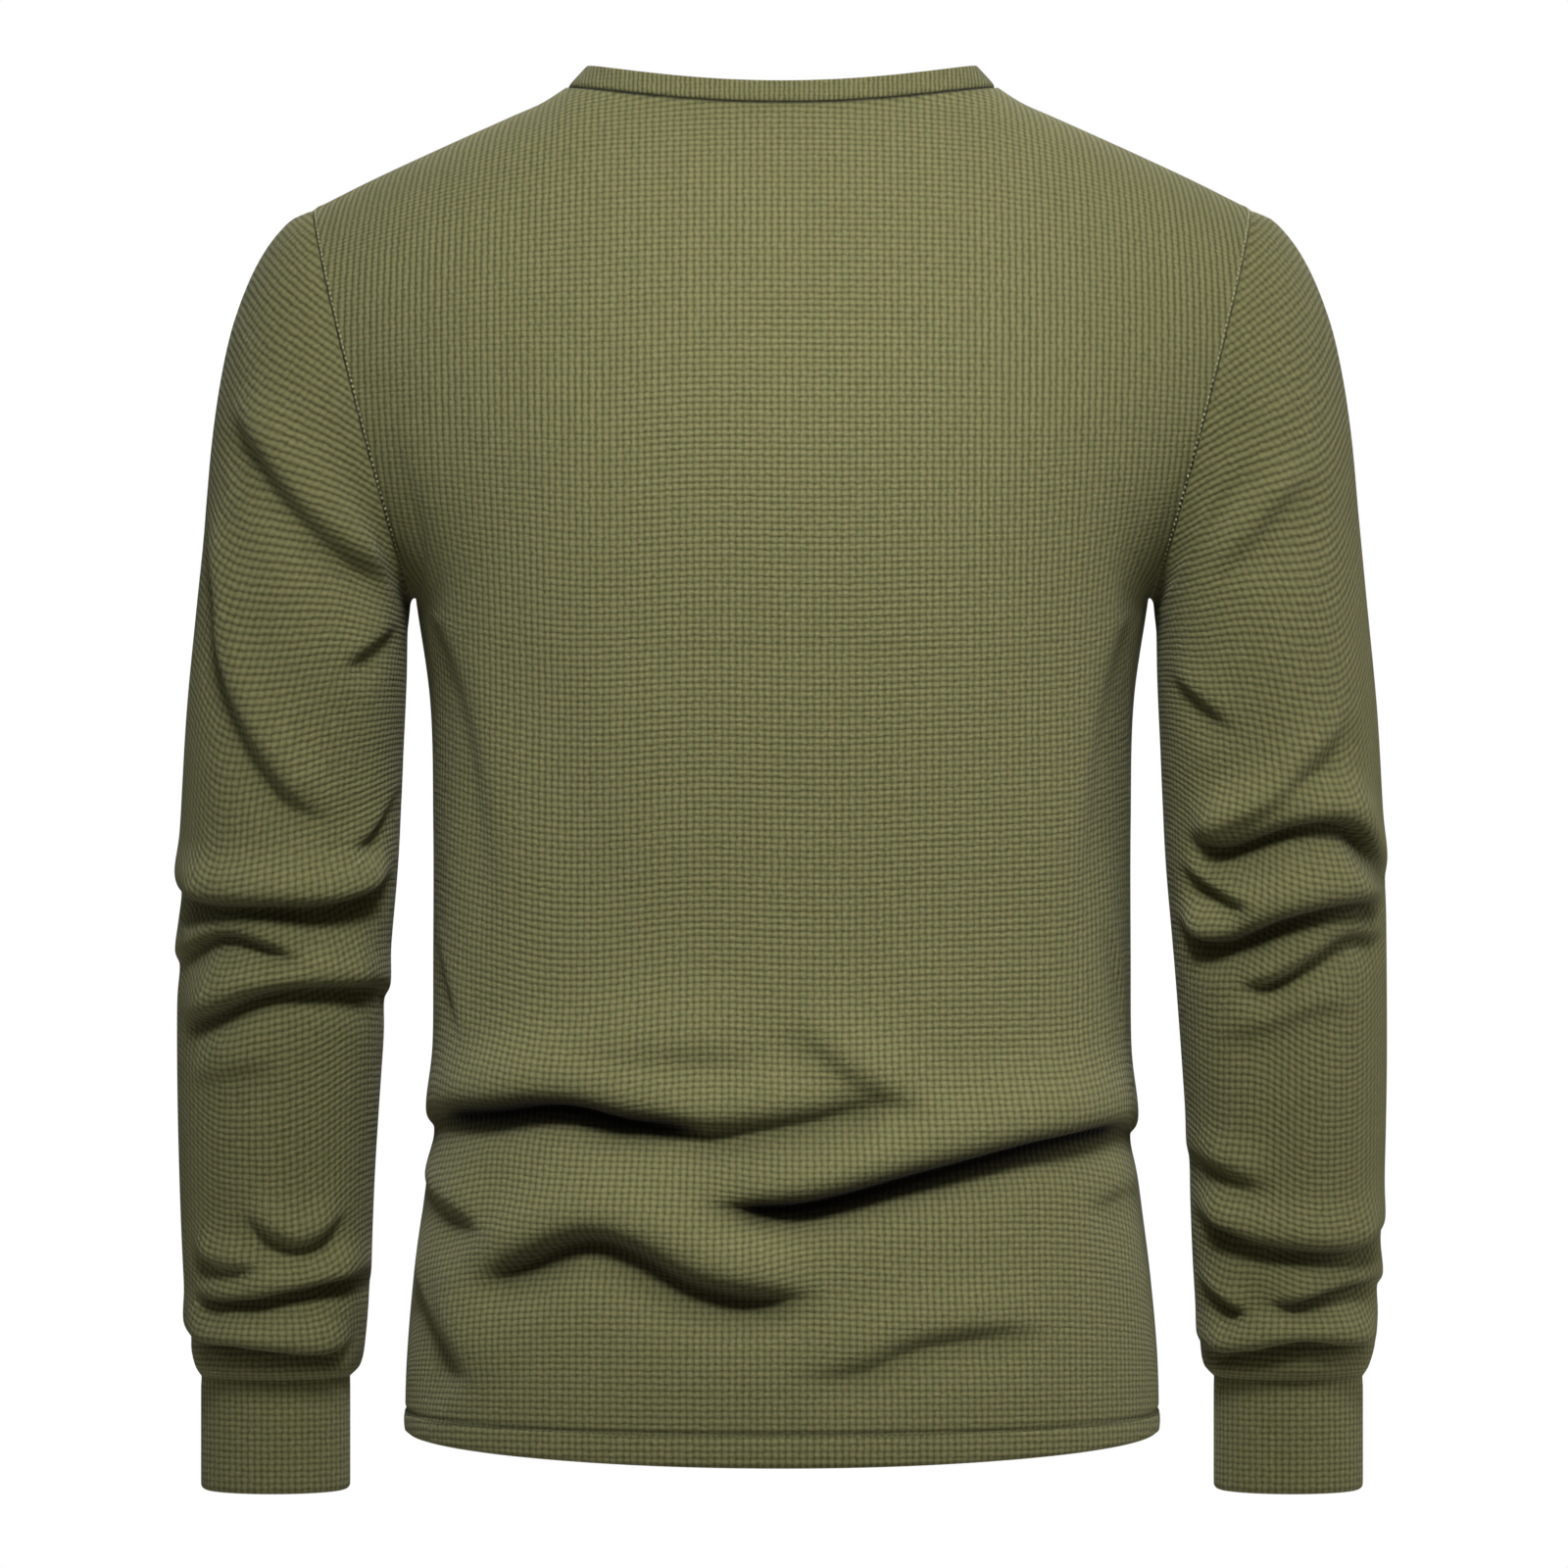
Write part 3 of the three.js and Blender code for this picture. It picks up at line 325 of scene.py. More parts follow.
def table_at(rows, at):
    """The columns of a table at a value of its first column, each a smooth curve through the rows."""
    rows = np.asarray(rows, float)
    if rows[1, 0] < rows[0, 0]:
        rows = rows[::-1]
    at = np.asarray(at, float)
    last = len(rows) - 1
    i = np.clip(np.searchsorted(rows[:, 0], at) - 1, 0, last - 1)
    a, b = rows[i], rows[i + 1]
    before, after = rows[np.maximum(i - 1, 0)], rows[np.minimum(i + 2, last)]
    span = (b - a)[..., :1]
    t = clamp01((at[..., None] - a[..., :1]) / span)
    slope_a = (b - before) / (b - before)[..., :1] * span
    slope_b = (after - a) / (after - a)[..., :1] * span
    curve = (
        a * (2 * t**3 - 3 * t**2 + 1) + slope_a * (t**3 - 2 * t**2 + t)
        + b * (3 * t**2 - 2 * t**3) + slope_b * (t**3 - t**2)
    )
    return [curve[..., k] for k in range(1, rows.shape[1])]


# The base form


def armhole(side, w):
    """The armhole, w 0 at the armpit to 1 at the shoulder seam."""
    c = (1 - np.cos(np.pi * w)) / 2
    s = np.abs(np.sin(np.pi * w))
    x = mix(ARMPIT_X, SHOULDER_X, c) + side["armhole_bow"] * s
    return x, side["armhole_depth"] * s**0.92, mix(ARMPIT_Z, SHOULDER_Z, c)


def top_edge(side, turn):
    """The top edge of a panel: neckline, then shoulder seam. turn is 0 to 90."""
    first = side["first_psi"]
    psi = np.where(
        turn <= COLUMN_TURN,
        first * turn / COLUMN_TURN,
        mix(first, 90, (turn - COLUMN_TURN) / (NECK_TURN - COLUMN_TURN)),
    )
    psi = np.minimum(psi, 90)
    across = np.abs(np.cos(psi * RAD))
    neck = [
        NECK_HALF_WIDTH * np.sin(psi * RAD),
        side["sign"] * NECK_POINT_Y + side["neck_depth"] * across ** side["neck_square"],
        -side["neck_drop"] * across ** side["neck_round"],
    ]
    along = clamp01((turn - NECK_TURN) / (90 - NECK_TURN))
    ridge_x = mix(NECK_HALF_WIDTH, SHOULDER_X, along)
    ridge_z, ridge_y = table_at(SHOULDER_RIDGE, ridge_x)
    ridge = [ridge_x, side["sign"] * ridge_y, ridge_z]
    return [np.where(turn <= NECK_TURN, a, b) for a, b in zip(neck, ridge)]


def squared(turn, power):
    s, c = np.abs(np.sin(turn * RAD)), np.abs(np.cos(turn * RAD))
    return (s**power + c**power) ** (-1 / power)


def lower_body(side, turn, v):
    """The body below the armpits, for a quarter turn. v is 0 at the hem and 1 at the armpit row."""
    hem = mix(HEM_SIDE, HEM_BACK if side is BACK else HEM_FRONT, np.cos(turn * RAD) ** 2)
    row = ARMPIT_Z - ARMPIT_ROW_DIP * (1 - np.sin(turn * RAD) ** 6)
    z = mix(hem, row, v)
    half, back, front = table_at(BODY_SECTIONS, np.maximum(z, -660))
    depth = back if side is BACK else front
    k = squared(turn, BODY_SQUARENESS)
    return {
        "x": half * np.sin(turn * RAD) * k, "y": depth * np.cos(turn * RAD) * k, "z": z,
        "half": half, "depth": depth,
    }


def climb_at(w):
    return np.sin(np.pi / 2 * w) ** 1.3


def falling(side, climb):
    return np.maximum(0, 1 - np.minimum(1, climb) ** side["fall"]) ** (1 / side["fall"])


def upper_section(side, w):
    """The section's size above the armpits: the superellipse that passes through the armhole's edge."""
    edge_x, edge_y, _ = armhole(side, w)
    full = table_at(side["fullness"], w)[0]
    power = mix(BODY_SQUARENESS, 2.1, w)
    depth = table_at(BODY_SECTIONS, ARMPIT_Z)[1 if side is BACK else 2]
    share = edge_y / falling(side, climb_at(w)) / (depth * full)
    half = edge_x / (1 - share**power) ** (1 / power)
    return {
        "full": full, "power": power, "wider": half / ARMPIT_X,
        "edge_turn": np.arctan2(edge_x / half, share) / RAD,
    }


def upper_body(side, turn, w):
    """The body above the armpits, for a quarter turn. w is 0 at the armpit row and 1 at the top edge."""
    low = lower_body(side, turn, 1)
    top_x, top_y, top_z = top_edge(side, turn)
    here = upper_section(side, np.minimum(w, 0.98))
    last = upper_section(side, np.asarray(0.98))
    edge_x, edge_y, edge_z = armhole(side, w)
    angle = turn / 90 * here["edge_turn"]
    half = low["half"] * here["wider"]
    section_x = half * np.sin(angle * RAD) * squared(angle, here["power"])
    x = mix(section_x, top_x / SHOULDER_X * edge_x, smooth(w / 0.95))

    def flat_at(section, at):
        share = np.minimum(1, at / (low["half"] * section["wider"])) ** section["power"]
        return low["depth"] * section["full"] * (1 - share) ** (1 / section["power"])

    ridge_y = np.where(turn <= NECK_TURN, side["sign"] * NECK_POINT_Y, top_y)
    reach = falling(side, (top_y - ridge_y) / (flat_at(last, top_x) - ridge_y))
    climb = climb_at(w)
    top_line = mix(SHOULDER_Z * (turn / 90) ** 2, low["z"] + (top_z - low["z"]) / reach, w**4)
    hold = np.sin(turn * RAD) ** 10
    at_edge = np.abs(turn - 90) < 1e-6
    y = ridge_y + (flat_at(here, x) - ridge_y) * falling(side, climb * reach)
    z = low["z"] + (top_line - low["z"]) * climb * reach
    z = z + hold * (edge_z - mix(ARMPIT_Z, SHOULDER_Z, climb))
    return np.where(at_edge, edge_x, x), np.where(at_edge, edge_y, y), z


def quarter_body(side, quarter, level):
    """A quarter of the body at every level (rows) and turn (columns)."""
    low = lower_body(side, quarter, np.minimum(level, 1))
    high = upper_body(side, quarter, np.clip(level - 1, 1e-6, 1))
    return [np.where(level <= 1, low[key], up) for key, up in zip("xyz", high)]


def body_points(side, turns, levels):
    """The body's outer face. Turns are measured from the panel's centre, left positive at the back."""
    quarter, level = np.meshgrid(np.abs(turns), levels)
    if side is FRONT:
        quarter = placket_remap(quarter, levels)
    x, y, z = quarter_body(side, quarter, level)
    return np.stack([x * np.sign(turns), side["sign"] * y, z], axis=-1)


def placket_remap(quarter, levels):
    """Turns of the front's columns, so that one column runs straight down at the placket's edge."""
    trial = np.linspace(0.5, 30, 60)
    q, level = np.meshgrid(trial, levels)
    x = quarter_body(FRONT, q, level)[0]
    edge = np.array([np.interp(PLACKET_HALF_WIDTH, row, trial) for row in x])[:, None]
    ease = smooth((quarter - COLUMN_TURN) / 20)
    return quarter * mix(edge / COLUMN_TURN, 1, ease)


def sleeve_points(turns, heights):
    """The left sleeve's outer face. turn is 0 at the underarm, 90 at the back, 180 outside."""
    turn, z = np.meshgrid(turns, heights)
    outer_x, inner_x, inner_z, depth, middle = table_at(SLEEVE_RINGS, z)
    c, s = np.cos(turn * RAD), np.sin(turn * RAD)
    bent = np.sign(s) * np.abs(s) ** 0.92
    x = mix(outer_x, inner_x, (1 + c) / 2)
    w = np.arccos(np.clip(c, -1, 1)) / np.pi
    backs, fronts = armhole(BACK, w), armhole(FRONT, w)
    hole_x = np.where(s >= 0, backs[0], fronts[0])
    hole_y = np.where(s >= 0, backs[1], -fronts[1])
    fade = 1 - smooth((SHOULDER_Z - z) / 90)
    first = SLEEVE_RINGS[0]
    return np.stack([
        x + fade * (hole_x - mix(first[1], first[2], (1 + c) / 2)),
        middle + depth * bent + fade * (hole_y - (first[5] + first[4] * bent)),
        mix(z, inner_z, (1 + c) / 2),
    ], axis=-1)


# Folds


def course_of(line, radius, step=4.0):
    """A fold's line as points a few millimetres apart, with rising turn."""
    points = np.array(line, float) * [RAD * radius, 1]
    if points[-1, 0] < points[0, 0]:
        points = points[::-1]
    rows = np.column_stack([np.arange(len(points)), points])
    fine = np.stack(table_at(rows, np.linspace(0, len(points) - 1, 40 * len(points))), axis=-1)
    run = run_of(fine)
    return along_line(fine, run, np.linspace(0, run[-1], max(8, int(run[-1] / step))))


def nearest_on(course, points):
    """Share along the course and signed distance to its lower side, for every point."""
    a, d = course[:-1], np.diff(course, axis=0)
    rel = points[:, None, :] - a[None]
    raw = (rel * d).sum(-1) / (d * d).sum(-1)
    t = clamp01(raw)
    off = rel - t[..., None] * d
    far = np.hypot(off[..., 0], off[..., 1])
    best = far.argmin(axis=1)
    pick = np.arange(len(points)), best
    side = np.where(d[best, 1] * rel[pick][:, 0] - d[best, 0] * rel[pick][:, 1] < 0, -1.0, 1.0)
    along = (best + t[pick]) / len(d)
    past_start = (best == 0) & (raw[pick] < 0)
    past_end = (best == len(d) - 1) & (raw[pick] > 1)
    along = np.where(past_start, 0, np.where(past_end, 1, along))
    return along, side * far[pick]


def fold_shift(folds, turn, z, radius, ease):
    """How far the folds move the cloth out along its normal and down along the wall, and how much painted
    shade it gets in a crease, from 0 to 1. ease is each point's share of the folds' full height."""
    out, down, shade = np.zeros(turn.shape), np.zeros(turn.shape), np.zeros(turn.shape)
    for line, crest, rise, dip, fall, lip, taper in folds:
        course = course_of(line, radius)
        reach = 3.5 * max(rise, fall)
        for lap in (-360, 0, 360):
            x = (turn + lap) * RAD * radius
            near = (x > course[:, 0].min() - reach) & (x < course[:, 0].max() + reach)
            near &= (z > course[:, 1].min() - reach) & (z < course[:, 1].max() + reach)
            if not near.any():
                continue
            along, below = nearest_on(course, np.stack([x[near], z[near]], axis=-1))
            ends = smooth(along / taper) * smooth((1 - along) / taper) * ease[near]
            below = below + LIP_SHARE * lip
            bulge = below + 0.6 * rise + 0.3 * fall
            high = np.exp(-((bulge / np.where(bulge < 0, 1.15 * rise, 0.75 * rise)) ** 2))
            hollow = below - 0.1 * fall
            low = np.exp(-((hollow / np.where(hollow < 0, 0.6 * fall, 2.3 * fall)) ** 2))
            hang = below + 0.35 * rise
            sag = np.exp(-((hang / np.where(hang < 0, 1.4 * rise, 0.9 * fall)) ** 2))
            out[near] += ends * (crest * high - dip * low)
            down[near] += ends * HANG * lip * sag
            # painted shade in the crease: darkest just under the crest's lip, fading down the lower flank,
            # stronger where the crest hangs further
            closed = clamp01(lip / FULL_LIP) ** 1.4
            under = below - 0.15 * fall
            width = (0.4 + 0.6 * ends) * np.where(under < 0, 1.35 * fall, 1.9 * fall)
            dark = 1.15 * np.exp(-np.abs(under / width) ** 2.0)
            shade[near] = np.maximum(shade[near], clamp01(smooth(ends * 1.5) * closed * dark))
    return out, down, shade


# Grids of points as pieces of cloth


def piece(name, grid, turns, wraps=False):
    return {"name": name, "grid": grid, "turns": turns, "wraps": wraps, "keep": None}


def cells_of(p):
    """The four corners of every cell, as vertex numbers in turn about the outward normal."""
    rows, columns = p["grid"].shape[:2]
    ids = np.arange(rows * columns).reshape(rows, columns)
    right = np.roll(ids, -1, axis=1)
    cells = np.stack([ids[:-1], right[:-1], right[1:], ids[1:]], axis=-1)
    if not p["wraps"]:
        cells = cells[:, :-1]
    kept = np.ones(cells.shape[:2], bool) if p["keep"] is None else p["keep"]
    return cells, kept


def shared_normals(pieces):
    """Normals of the whole garment: pieces that share points get the same normals there."""
    points = np.concatenate([p["grid"].reshape(-1, 3) for p in pieces])
    _, group = np.unique(np.round(points * 200).astype(np.int64), axis=0, return_inverse=True)
    group = group.ravel()
    sums = np.zeros((group.max() + 1, 3))
    start = 0
    for p in pieces:
        flat = p["grid"].reshape(-1, 3)
        cells = cells_of(p)[0].reshape(-1, 4)
        a, b, c, d = (flat[cells[:, k]] for k in range(4))
        across = np.cross(c - a, d - b)
        for k in range(4):
            np.add.at(sums, group[start + cells[:, k]], across)
        start += len(flat)
    normals = unit(sums)[group]
    start = 0
    for p in pieces:
        count = p["grid"].shape[0] * p["grid"].shape[1]
        p["normals"] = normals[start:start + count].reshape(p["grid"].shape)
        start += count


def lay_out(p, centre, grain=None):
    """UV in metres: how far across and up the cloth each point lies, from the column given.

    grain is the direction that the knit's ribs run up, at every point."""
    grid, normals = p["grid"], p["normals"]
    grain = np.broadcast_to([0, 0, 1.0] if grain is None else grain, grid.shape)
    if p["wraps"]:
        grid, normals, grain = (np.concatenate([g, g[:, :1]], axis=1) for g in (grid, normals, grain))
    level = unit(np.cross(grain, normals))
    upward = unit(np.cross(normals, level))

    def steps(axis, direction):
        middle = (np.take(direction, range(1, direction.shape[axis]), axis)
                  + np.take(direction, range(direction.shape[axis] - 1), axis)) / 2
        return (np.diff(grid, axis=axis) * middle).sum(-1)

    uv = []
    for direction in (level, upward):
        column = np.append(0, np.cumsum(steps(0, direction)[:, centre]))
        first = np.zeros((grid.shape[0], 1))
        rows = np.concatenate([first, np.cumsum(steps(1, direction), axis=1)], axis=1)
        uv.append(rows - rows[:, centre:centre + 1] + column[:, None])
    p["uv"] = np.stack(uv, axis=-1) * MM


def sleeve_grain(z):
    """How far the sleeve's ribs lean in at a height: at the shoulder they still run as in the cut cap."""
    return 46 * RAD * smooth((z + 400) / 330)


def edge_run(grid, axis, from_end=False):
    """How far every point lies from a grid's first or last row or column, along the cloth."""
    steps = np.linalg.norm(np.diff(grid, axis=axis), axis=-1)
    if from_end:
        steps = np.flip(steps, axis)
    run = np.cumsum(steps, axis=axis)
    zero = np.zeros_like(np.take(run, [0], axis))
    run = np.concatenate([zero, run], axis=axis)
    return np.flip(run, axis) if from_end else run


def seam_dip(far, dip=SEAM_DIP, ridge=SEAM_RIDGE):
    """How far in the cloth is drawn at this distance from a seam, with a slight swelling beside it."""
    return dip * np.exp(-far / SEAM_WIDTH) - ridge * np.exp(-(((far - 3.0) / 1.7) ** 2))


def evened(values, wraps):
    """Values smoothed across a grid's columns."""
    for _ in range(40):
        if wraps:
            values = (np.roll(values, 1, axis=1) + 2 * values + np.roll(values, -1, axis=1)) / 4
        else:
            padded = np.pad(values, ((0, 0), (1, 1)), mode="edge")
            values = (padded[:, :-2] + 2 * padded[:, 1:-1] + padded[:, 2:]) / 4
    return values


def fold_piece(p, folds, radius, grip, upward, silhouette):
    """Folds a piece. silhouette is 1 where the piece is seen edge on, and 0 where it faces the viewer."""
    turn = np.broadcast_to(p["turns"][None, :], p["grid"].shape[:2])
    ease = 1 - SIDE_CALM * np.broadcast_to(silhouette, turn.shape)
    before = edge_run(p["grid"], 0)
    out, down, shade = fold_shift(folds, turn, p["grid"][..., 2], radius, ease)
    p["grid"] = p["grid"] + p["normals"] * (out * grip)[..., None]
    p["grid"][..., 2] -= down * grip
    p["shade"] = shade * grip
    # The knit isn't stretched by the folds: the length they take up is let out over the column
    gain = edge_run(p["grid"], 0) - before
    spread = clamp01(before / min(LET_OUT, before[-1].min()))
    gain = evened(gain - gain[-1] * spread, p["wraps"])
    p["uv"][:, :gain.shape[1], 1] += upward * gain * MM
    if p["wraps"]:
        p["uv"][:, -1, 1] += upward * gain[:, 0] * MM


def mesh_object(name, vertices, faces, uvs=None, values=None):
    mesh = bpy.data.meshes.new(name)
    mesh.from_pydata((np.asarray(vertices) * MM).tolist(), [], [list(map(int, f)) for f in faces])
    if uvs is not None:
        layer = mesh.uv_layers.new(name="cloth")
        layer.data.foreach_set("uv", np.concatenate(uvs).astype(np.float32).ravel())
    for key, value in (values or {}).items():
        mesh.attributes.new(key, "FLOAT", "POINT").data.foreach_set("value", value.astype(np.float32))
    mesh.polygons.foreach_set("use_smooth", [True] * len(mesh.polygons))
    mesh.update()
    obj = bpy.data.objects.new(name, mesh)
    bpy.context.collection.objects.link(obj)
    return obj


def wall_object(p, wall, lift=0.0):
    """A closed wall: the grid as the outer face, the same grid moved in, and rims round every edge."""
    cells, kept = cells_of(p)
    shape = p["grid"].shape[:2]
    cells = cells[kept]
    count = shape[0] * shape[1]
    normals = p["normals"].reshape(-1, 3)
    outer = p["grid"].reshape(-1, 3) + normals * lift
    inner = outer - normals * np.broadcast_to(wall, shape).reshape(-1, 1)
    start, end = cells.ravel(), np.roll(cells, -1, axis=1).ravel()
    open_edge = ~np.isin(start * count + end, end * count + start)
    start, end = start[open_edge], end[open_edge]
    # Every open edge is drawn in by half a seam's gap
    move = np.zeros((count, 3))
    across = np.cross(outer[cells[:, 2]] - outer[cells[:, 0]], outer[cells[:, 3]] - outer[cells[:, 1]])
    owner = np.repeat(np.arange(len(cells)), 4)[open_edge]
    inward = unit(np.cross(across[owner], outer[end] - outer[start]))
    np.add.at(move, start, inward)
    np.add.at(move, end, inward)
    move = unit(move) * SEAM_GAP / 2
    outer, inner = outer + move, inner + move
    rims = np.stack([end, start, start + count, end + count], axis=-1)
    faces = np.concatenate([cells, cells[:, ::-1] + count, rims])
    used, numbers = np.unique(faces, return_inverse=True)
    uv = p["uv"]
    corner_uv = np.stack([uv[:-1, :-1], uv[:-1, 1:], uv[1:, 1:], uv[1:, :-1]], axis=2)[kept]
    flat_uv = uv[:, :shape[1]].reshape(-1, 2)
    rim_uv = flat_uv[rims % count]
    uvs = [corner_uv.reshape(-1, 2), corner_uv[:, ::-1].reshape(-1, 2), rim_uv.reshape(-1, 2)]
    vertices = np.concatenate([outer, inner])[used]
    values = {
        key: np.tile(np.broadcast_to(p.get(key, usual), shape).ravel(), 2)[used]
        for key, usual in (("shade", 0.0), ("rows", 0.5))
    }
    return mesh_object(p["name"], vertices, numbers.reshape(faces.shape), uvs, values)


# Materials


def knit_material(name, row_pitch, rib_pitch, row_weight, rib_weight):
    """Waffle knit: square pits between raised rows and ribs, in the colour and the bump; the pits' darker
    colour is painted shade.
    """
    material = bpy.data.materials.new(name)
    material.use_nodes = True
    nodes, links = material.node_tree.nodes, material.node_tree.links
    shader = nodes["Principled BSDF"]

    def link(value, slot):
        if hasattr(value, "links"):
            links.new(value, slot)
        else:
            slot.default_value = value

    def math_node(operation, *inputs):
        node = nodes.new("ShaderNodeMath")
        node.operation = operation
        for slot, value in zip(node.inputs, inputs):
            link(value, slot)
        return node.outputs[0]

    def plus(a, b):
        return math_node("ADD", a, b)

    def times(a, b):
        return math_node("MULTIPLY", a, b)

    def minus(a, b):
        return math_node("SUBTRACT", a, b)

    def noise(scale, detail, vector):
        node = nodes.new("ShaderNodeTexNoise")
        node.inputs["Scale"].default_value = scale
        node.inputs["Detail"].default_value = detail
        links.new(vector, node.inputs["Vector"])
        return node.outputs["Fac"]

    def blend(factor, first, second):
        node = nodes.new("ShaderNodeMix")
        node.data_type = "RGBA"
        link(factor, node.inputs["Factor"])
        for value, slot in ((first, node.inputs["A"]), (second, node.inputs["B"])):
            if isinstance(value, tuple):
                slot.default_value = (*value, 1)
            else:
                links.new(value, slot)
        return node.outputs["Result"]

    uv = nodes.new("ShaderNodeUVMap")
    uv.uv_map = "cloth"
    uv = uv.outputs["UV"]
    split = nodes.new("ShaderNodeSeparateXYZ")
    links.new(uv, split.inputs[0])
    yarn = nodes.new("ShaderNodeMapping")
    yarn.inputs["Scale"].default_value = (1, 5, 1)
    links.new(uv, yarn.inputs["Vector"])
    yarn = yarn.outputs["Vector"]

    def ribs(axis, pitch, power, wobble):
        shift = times(minus(wobble, 0.5), 1.5)
        phase = plus(times(split.outputs[axis], math.pi / pitch), shift)
        wave = math_node("ABSOLUTE", math_node("COSINE", phase))
        return math_node("POWER", wave, power)

    stress = nodes.new("ShaderNodeAttribute")
    stress.attribute_name = "rows"
    stress = plus(stress.outputs["Fac"], minus(noise(14, 2, uv), 0.5))
    row_part = times(plus(times(stress, 1.1), 0.45), row_weight)
    rib_part = times(minus(1.5, stress), rib_weight)
    rows = times(ribs("Y", row_pitch, 1.3, noise(230, 2, uv)), row_part)
    up = times(ribs("X", rib_pitch, 1.3, noise(260, 2, uv)), rib_part)
    fibre = minus(noise(2200, 4, uv), 0.5)
    loops = minus(noise(520, 2, uv), 0.5)
    height = plus(plus(plus(rows, up), times(fibre, 0.7)), times(loops, 0.55))
    tone = plus(times(height, 0.78), 0.08)
    heather = plus(times(minus(noise(150, 5, yarn), 0.5), 3.0), 0.5)
    pale = blend(heather, KNIT_GREEN, KNIT_BROWN)
    # painted shade in the pits: the colour darkens towards the pit colour where the knit lies low
    colour = blend(tone, KNIT_PIT_SHADE, pale)
    # painted shade: the shade attribute darkens the colour towards near black in creases, under the neckband
    # and along the hem's stitches
    shade = nodes.new("ShaderNodeAttribute")
    shade.attribute_name = "shade"
    colour = blend(shade.outputs["Fac"], colour, KNIT_PAINTED_SHADE)
    links.new(colour, shader.inputs["Base Color"])

    bump = nodes.new("ShaderNodeBump")
    bump.inputs["Strength"].default_value = 0.85
    bump.inputs["Distance"].default_value = 0.0008
    links.new(height, bump.inputs["Height"])
    links.new(bump.outputs["Normal"], shader.inputs["Normal"])
    shader.inputs["Roughness"].default_value = 0.92
    shader.inputs["Specular IOR Level"].default_value = 0.12
    shader.inputs["Sheen Weight"].default_value = 0.12
    shader.inputs["Sheen Roughness"].default_value = 0.5
    return material


def plain_material(name, colour, roughness, specular=0.5):
    material = bpy.data.materials.new(name)
    material.use_nodes = True
    shader = material.node_tree.nodes["Principled BSDF"]
    shader.inputs["Base Color"].default_value = (*colour, 1)
    shader.inputs["Roughness"].default_value = roughness
    shader.inputs["Specular IOR Level"].default_value = specular
    return material


def lit_and_seen(tree, lit, seen, output):
    """Joins two shaders: the first is what lights the cloth, and the second what the picture shows."""
    both = tree.nodes.new("ShaderNodeMixShader")
    ray = tree.nodes.new("ShaderNodeLightPath")
    tree.links.new(ray.outputs["Is Camera Ray"], both.inputs[0])
    tree.links.new(lit.outputs[0], both.inputs[1])
    tree.links.new(seen.outputs[0], both.inputs[2])
    tree.links.new(both.outputs[0], output.inputs["Surface"])


def floor_material():
    """A pale floor that looks evenly lit, but throws no light of its own on the cloth."""
    material = plain_material("floor", FLOOR_COLOUR, 0.9, 0.1)
    nodes = material.node_tree.nodes
    glow = nodes.new("ShaderNodeEmission")
    glow.inputs["Color"].default_value = (*FLOOR_COLOUR, 1)
    lit_and_seen(material.node_tree, nodes["Principled BSDF"], glow, nodes["Material Output"])
    return material


def clouded_material(name, colour, roughness, specular, scale, distortion, dark, pale):
    """A plain surface with faint clouds, from a darker to a paler shade of its colour."""
    material = plain_material(name, colour, roughness, specular)
    nodes, links = material.node_tree.nodes, material.node_tree.links
    noise = nodes.new("ShaderNodeTexNoise")
    noise.inputs["Scale"].default_value = scale
    noise.inputs["Distortion"].default_value = distortion
    place = nodes.new("ShaderNodeTexCoord")
    links.new(place.outputs["Object"], noise.inputs["Vector"])
    ramp = nodes.new("ShaderNodeValToRGB")
    for element, gain in zip(ramp.color_ramp.elements, (dark, pale)):
        element.color = (*[gain * c for c in colour], 1)
    links.new(noise.outputs["Fac"], ramp.inputs[0])
    links.new(ramp.outputs[0], nodes["Principled BSDF"].inputs["Base Color"])
    return material


def button_object(name, seat, side, up, normal):
    """A button turned on the lathe, its four holes pressed into the face."""
    radii = [*np.linspace(0.15, 3.4, 24), 3.7, 4.0, 4.4, 4.8, 5.1, 5.35, 5.5, 5.5, 5.35, 5.1, 0.01]
    inner = BUTTON_THICK - BUTTON_RIM
    heights = [*[inner] * 24, inner + 0.25, inner + 0.5, *[BUTTON_THICK] * 2, BUTTON_THICK - 0.06,
               BUTTON_THICK - 0.25, BUTTON_THICK - 0.5, 0.5, 0.2, 0.03, 0]
    turn = np.arange(96) / 96 * 2 * np.pi
    vertices, faces = [], []
    for r, h in zip(radii, heights):
        x, y = r * np.cos(turn), r * np.sin(turn)
        far = np.hypot(np.abs(x) - BUTTON_SPREAD, np.abs(y) - BUTTON_SPREAD)
        deep = BUTTON_DRILL * (1 - smooth((far - BUTTON_HOLE) / 0.2))
        z = h - deep * (h == inner)
        vertices.append(seat + x[:, None] * side + y[:, None] * up + z[:, None] * normal)
    count = len(turn)
    for r in range(len(radii) - 1):
        for k in range(count):
            n = (k + 1) % count
            faces.append([r * count + k, (r + 1) * count + k, (r + 1) * count + n, r * count + n])
    faces.append(list(range(count)))
    faces.append(list(range(len(radii) * count - 1, (len(radii) - 1) * count - 1, -1)))
    return mesh_object(name, np.concatenate(vertices), faces)


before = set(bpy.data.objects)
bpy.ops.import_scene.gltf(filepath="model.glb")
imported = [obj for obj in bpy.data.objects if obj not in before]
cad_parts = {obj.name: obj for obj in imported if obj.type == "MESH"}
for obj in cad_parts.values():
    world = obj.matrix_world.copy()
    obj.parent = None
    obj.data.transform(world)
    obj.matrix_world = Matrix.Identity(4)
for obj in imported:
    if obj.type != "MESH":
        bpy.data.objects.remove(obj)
low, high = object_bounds()

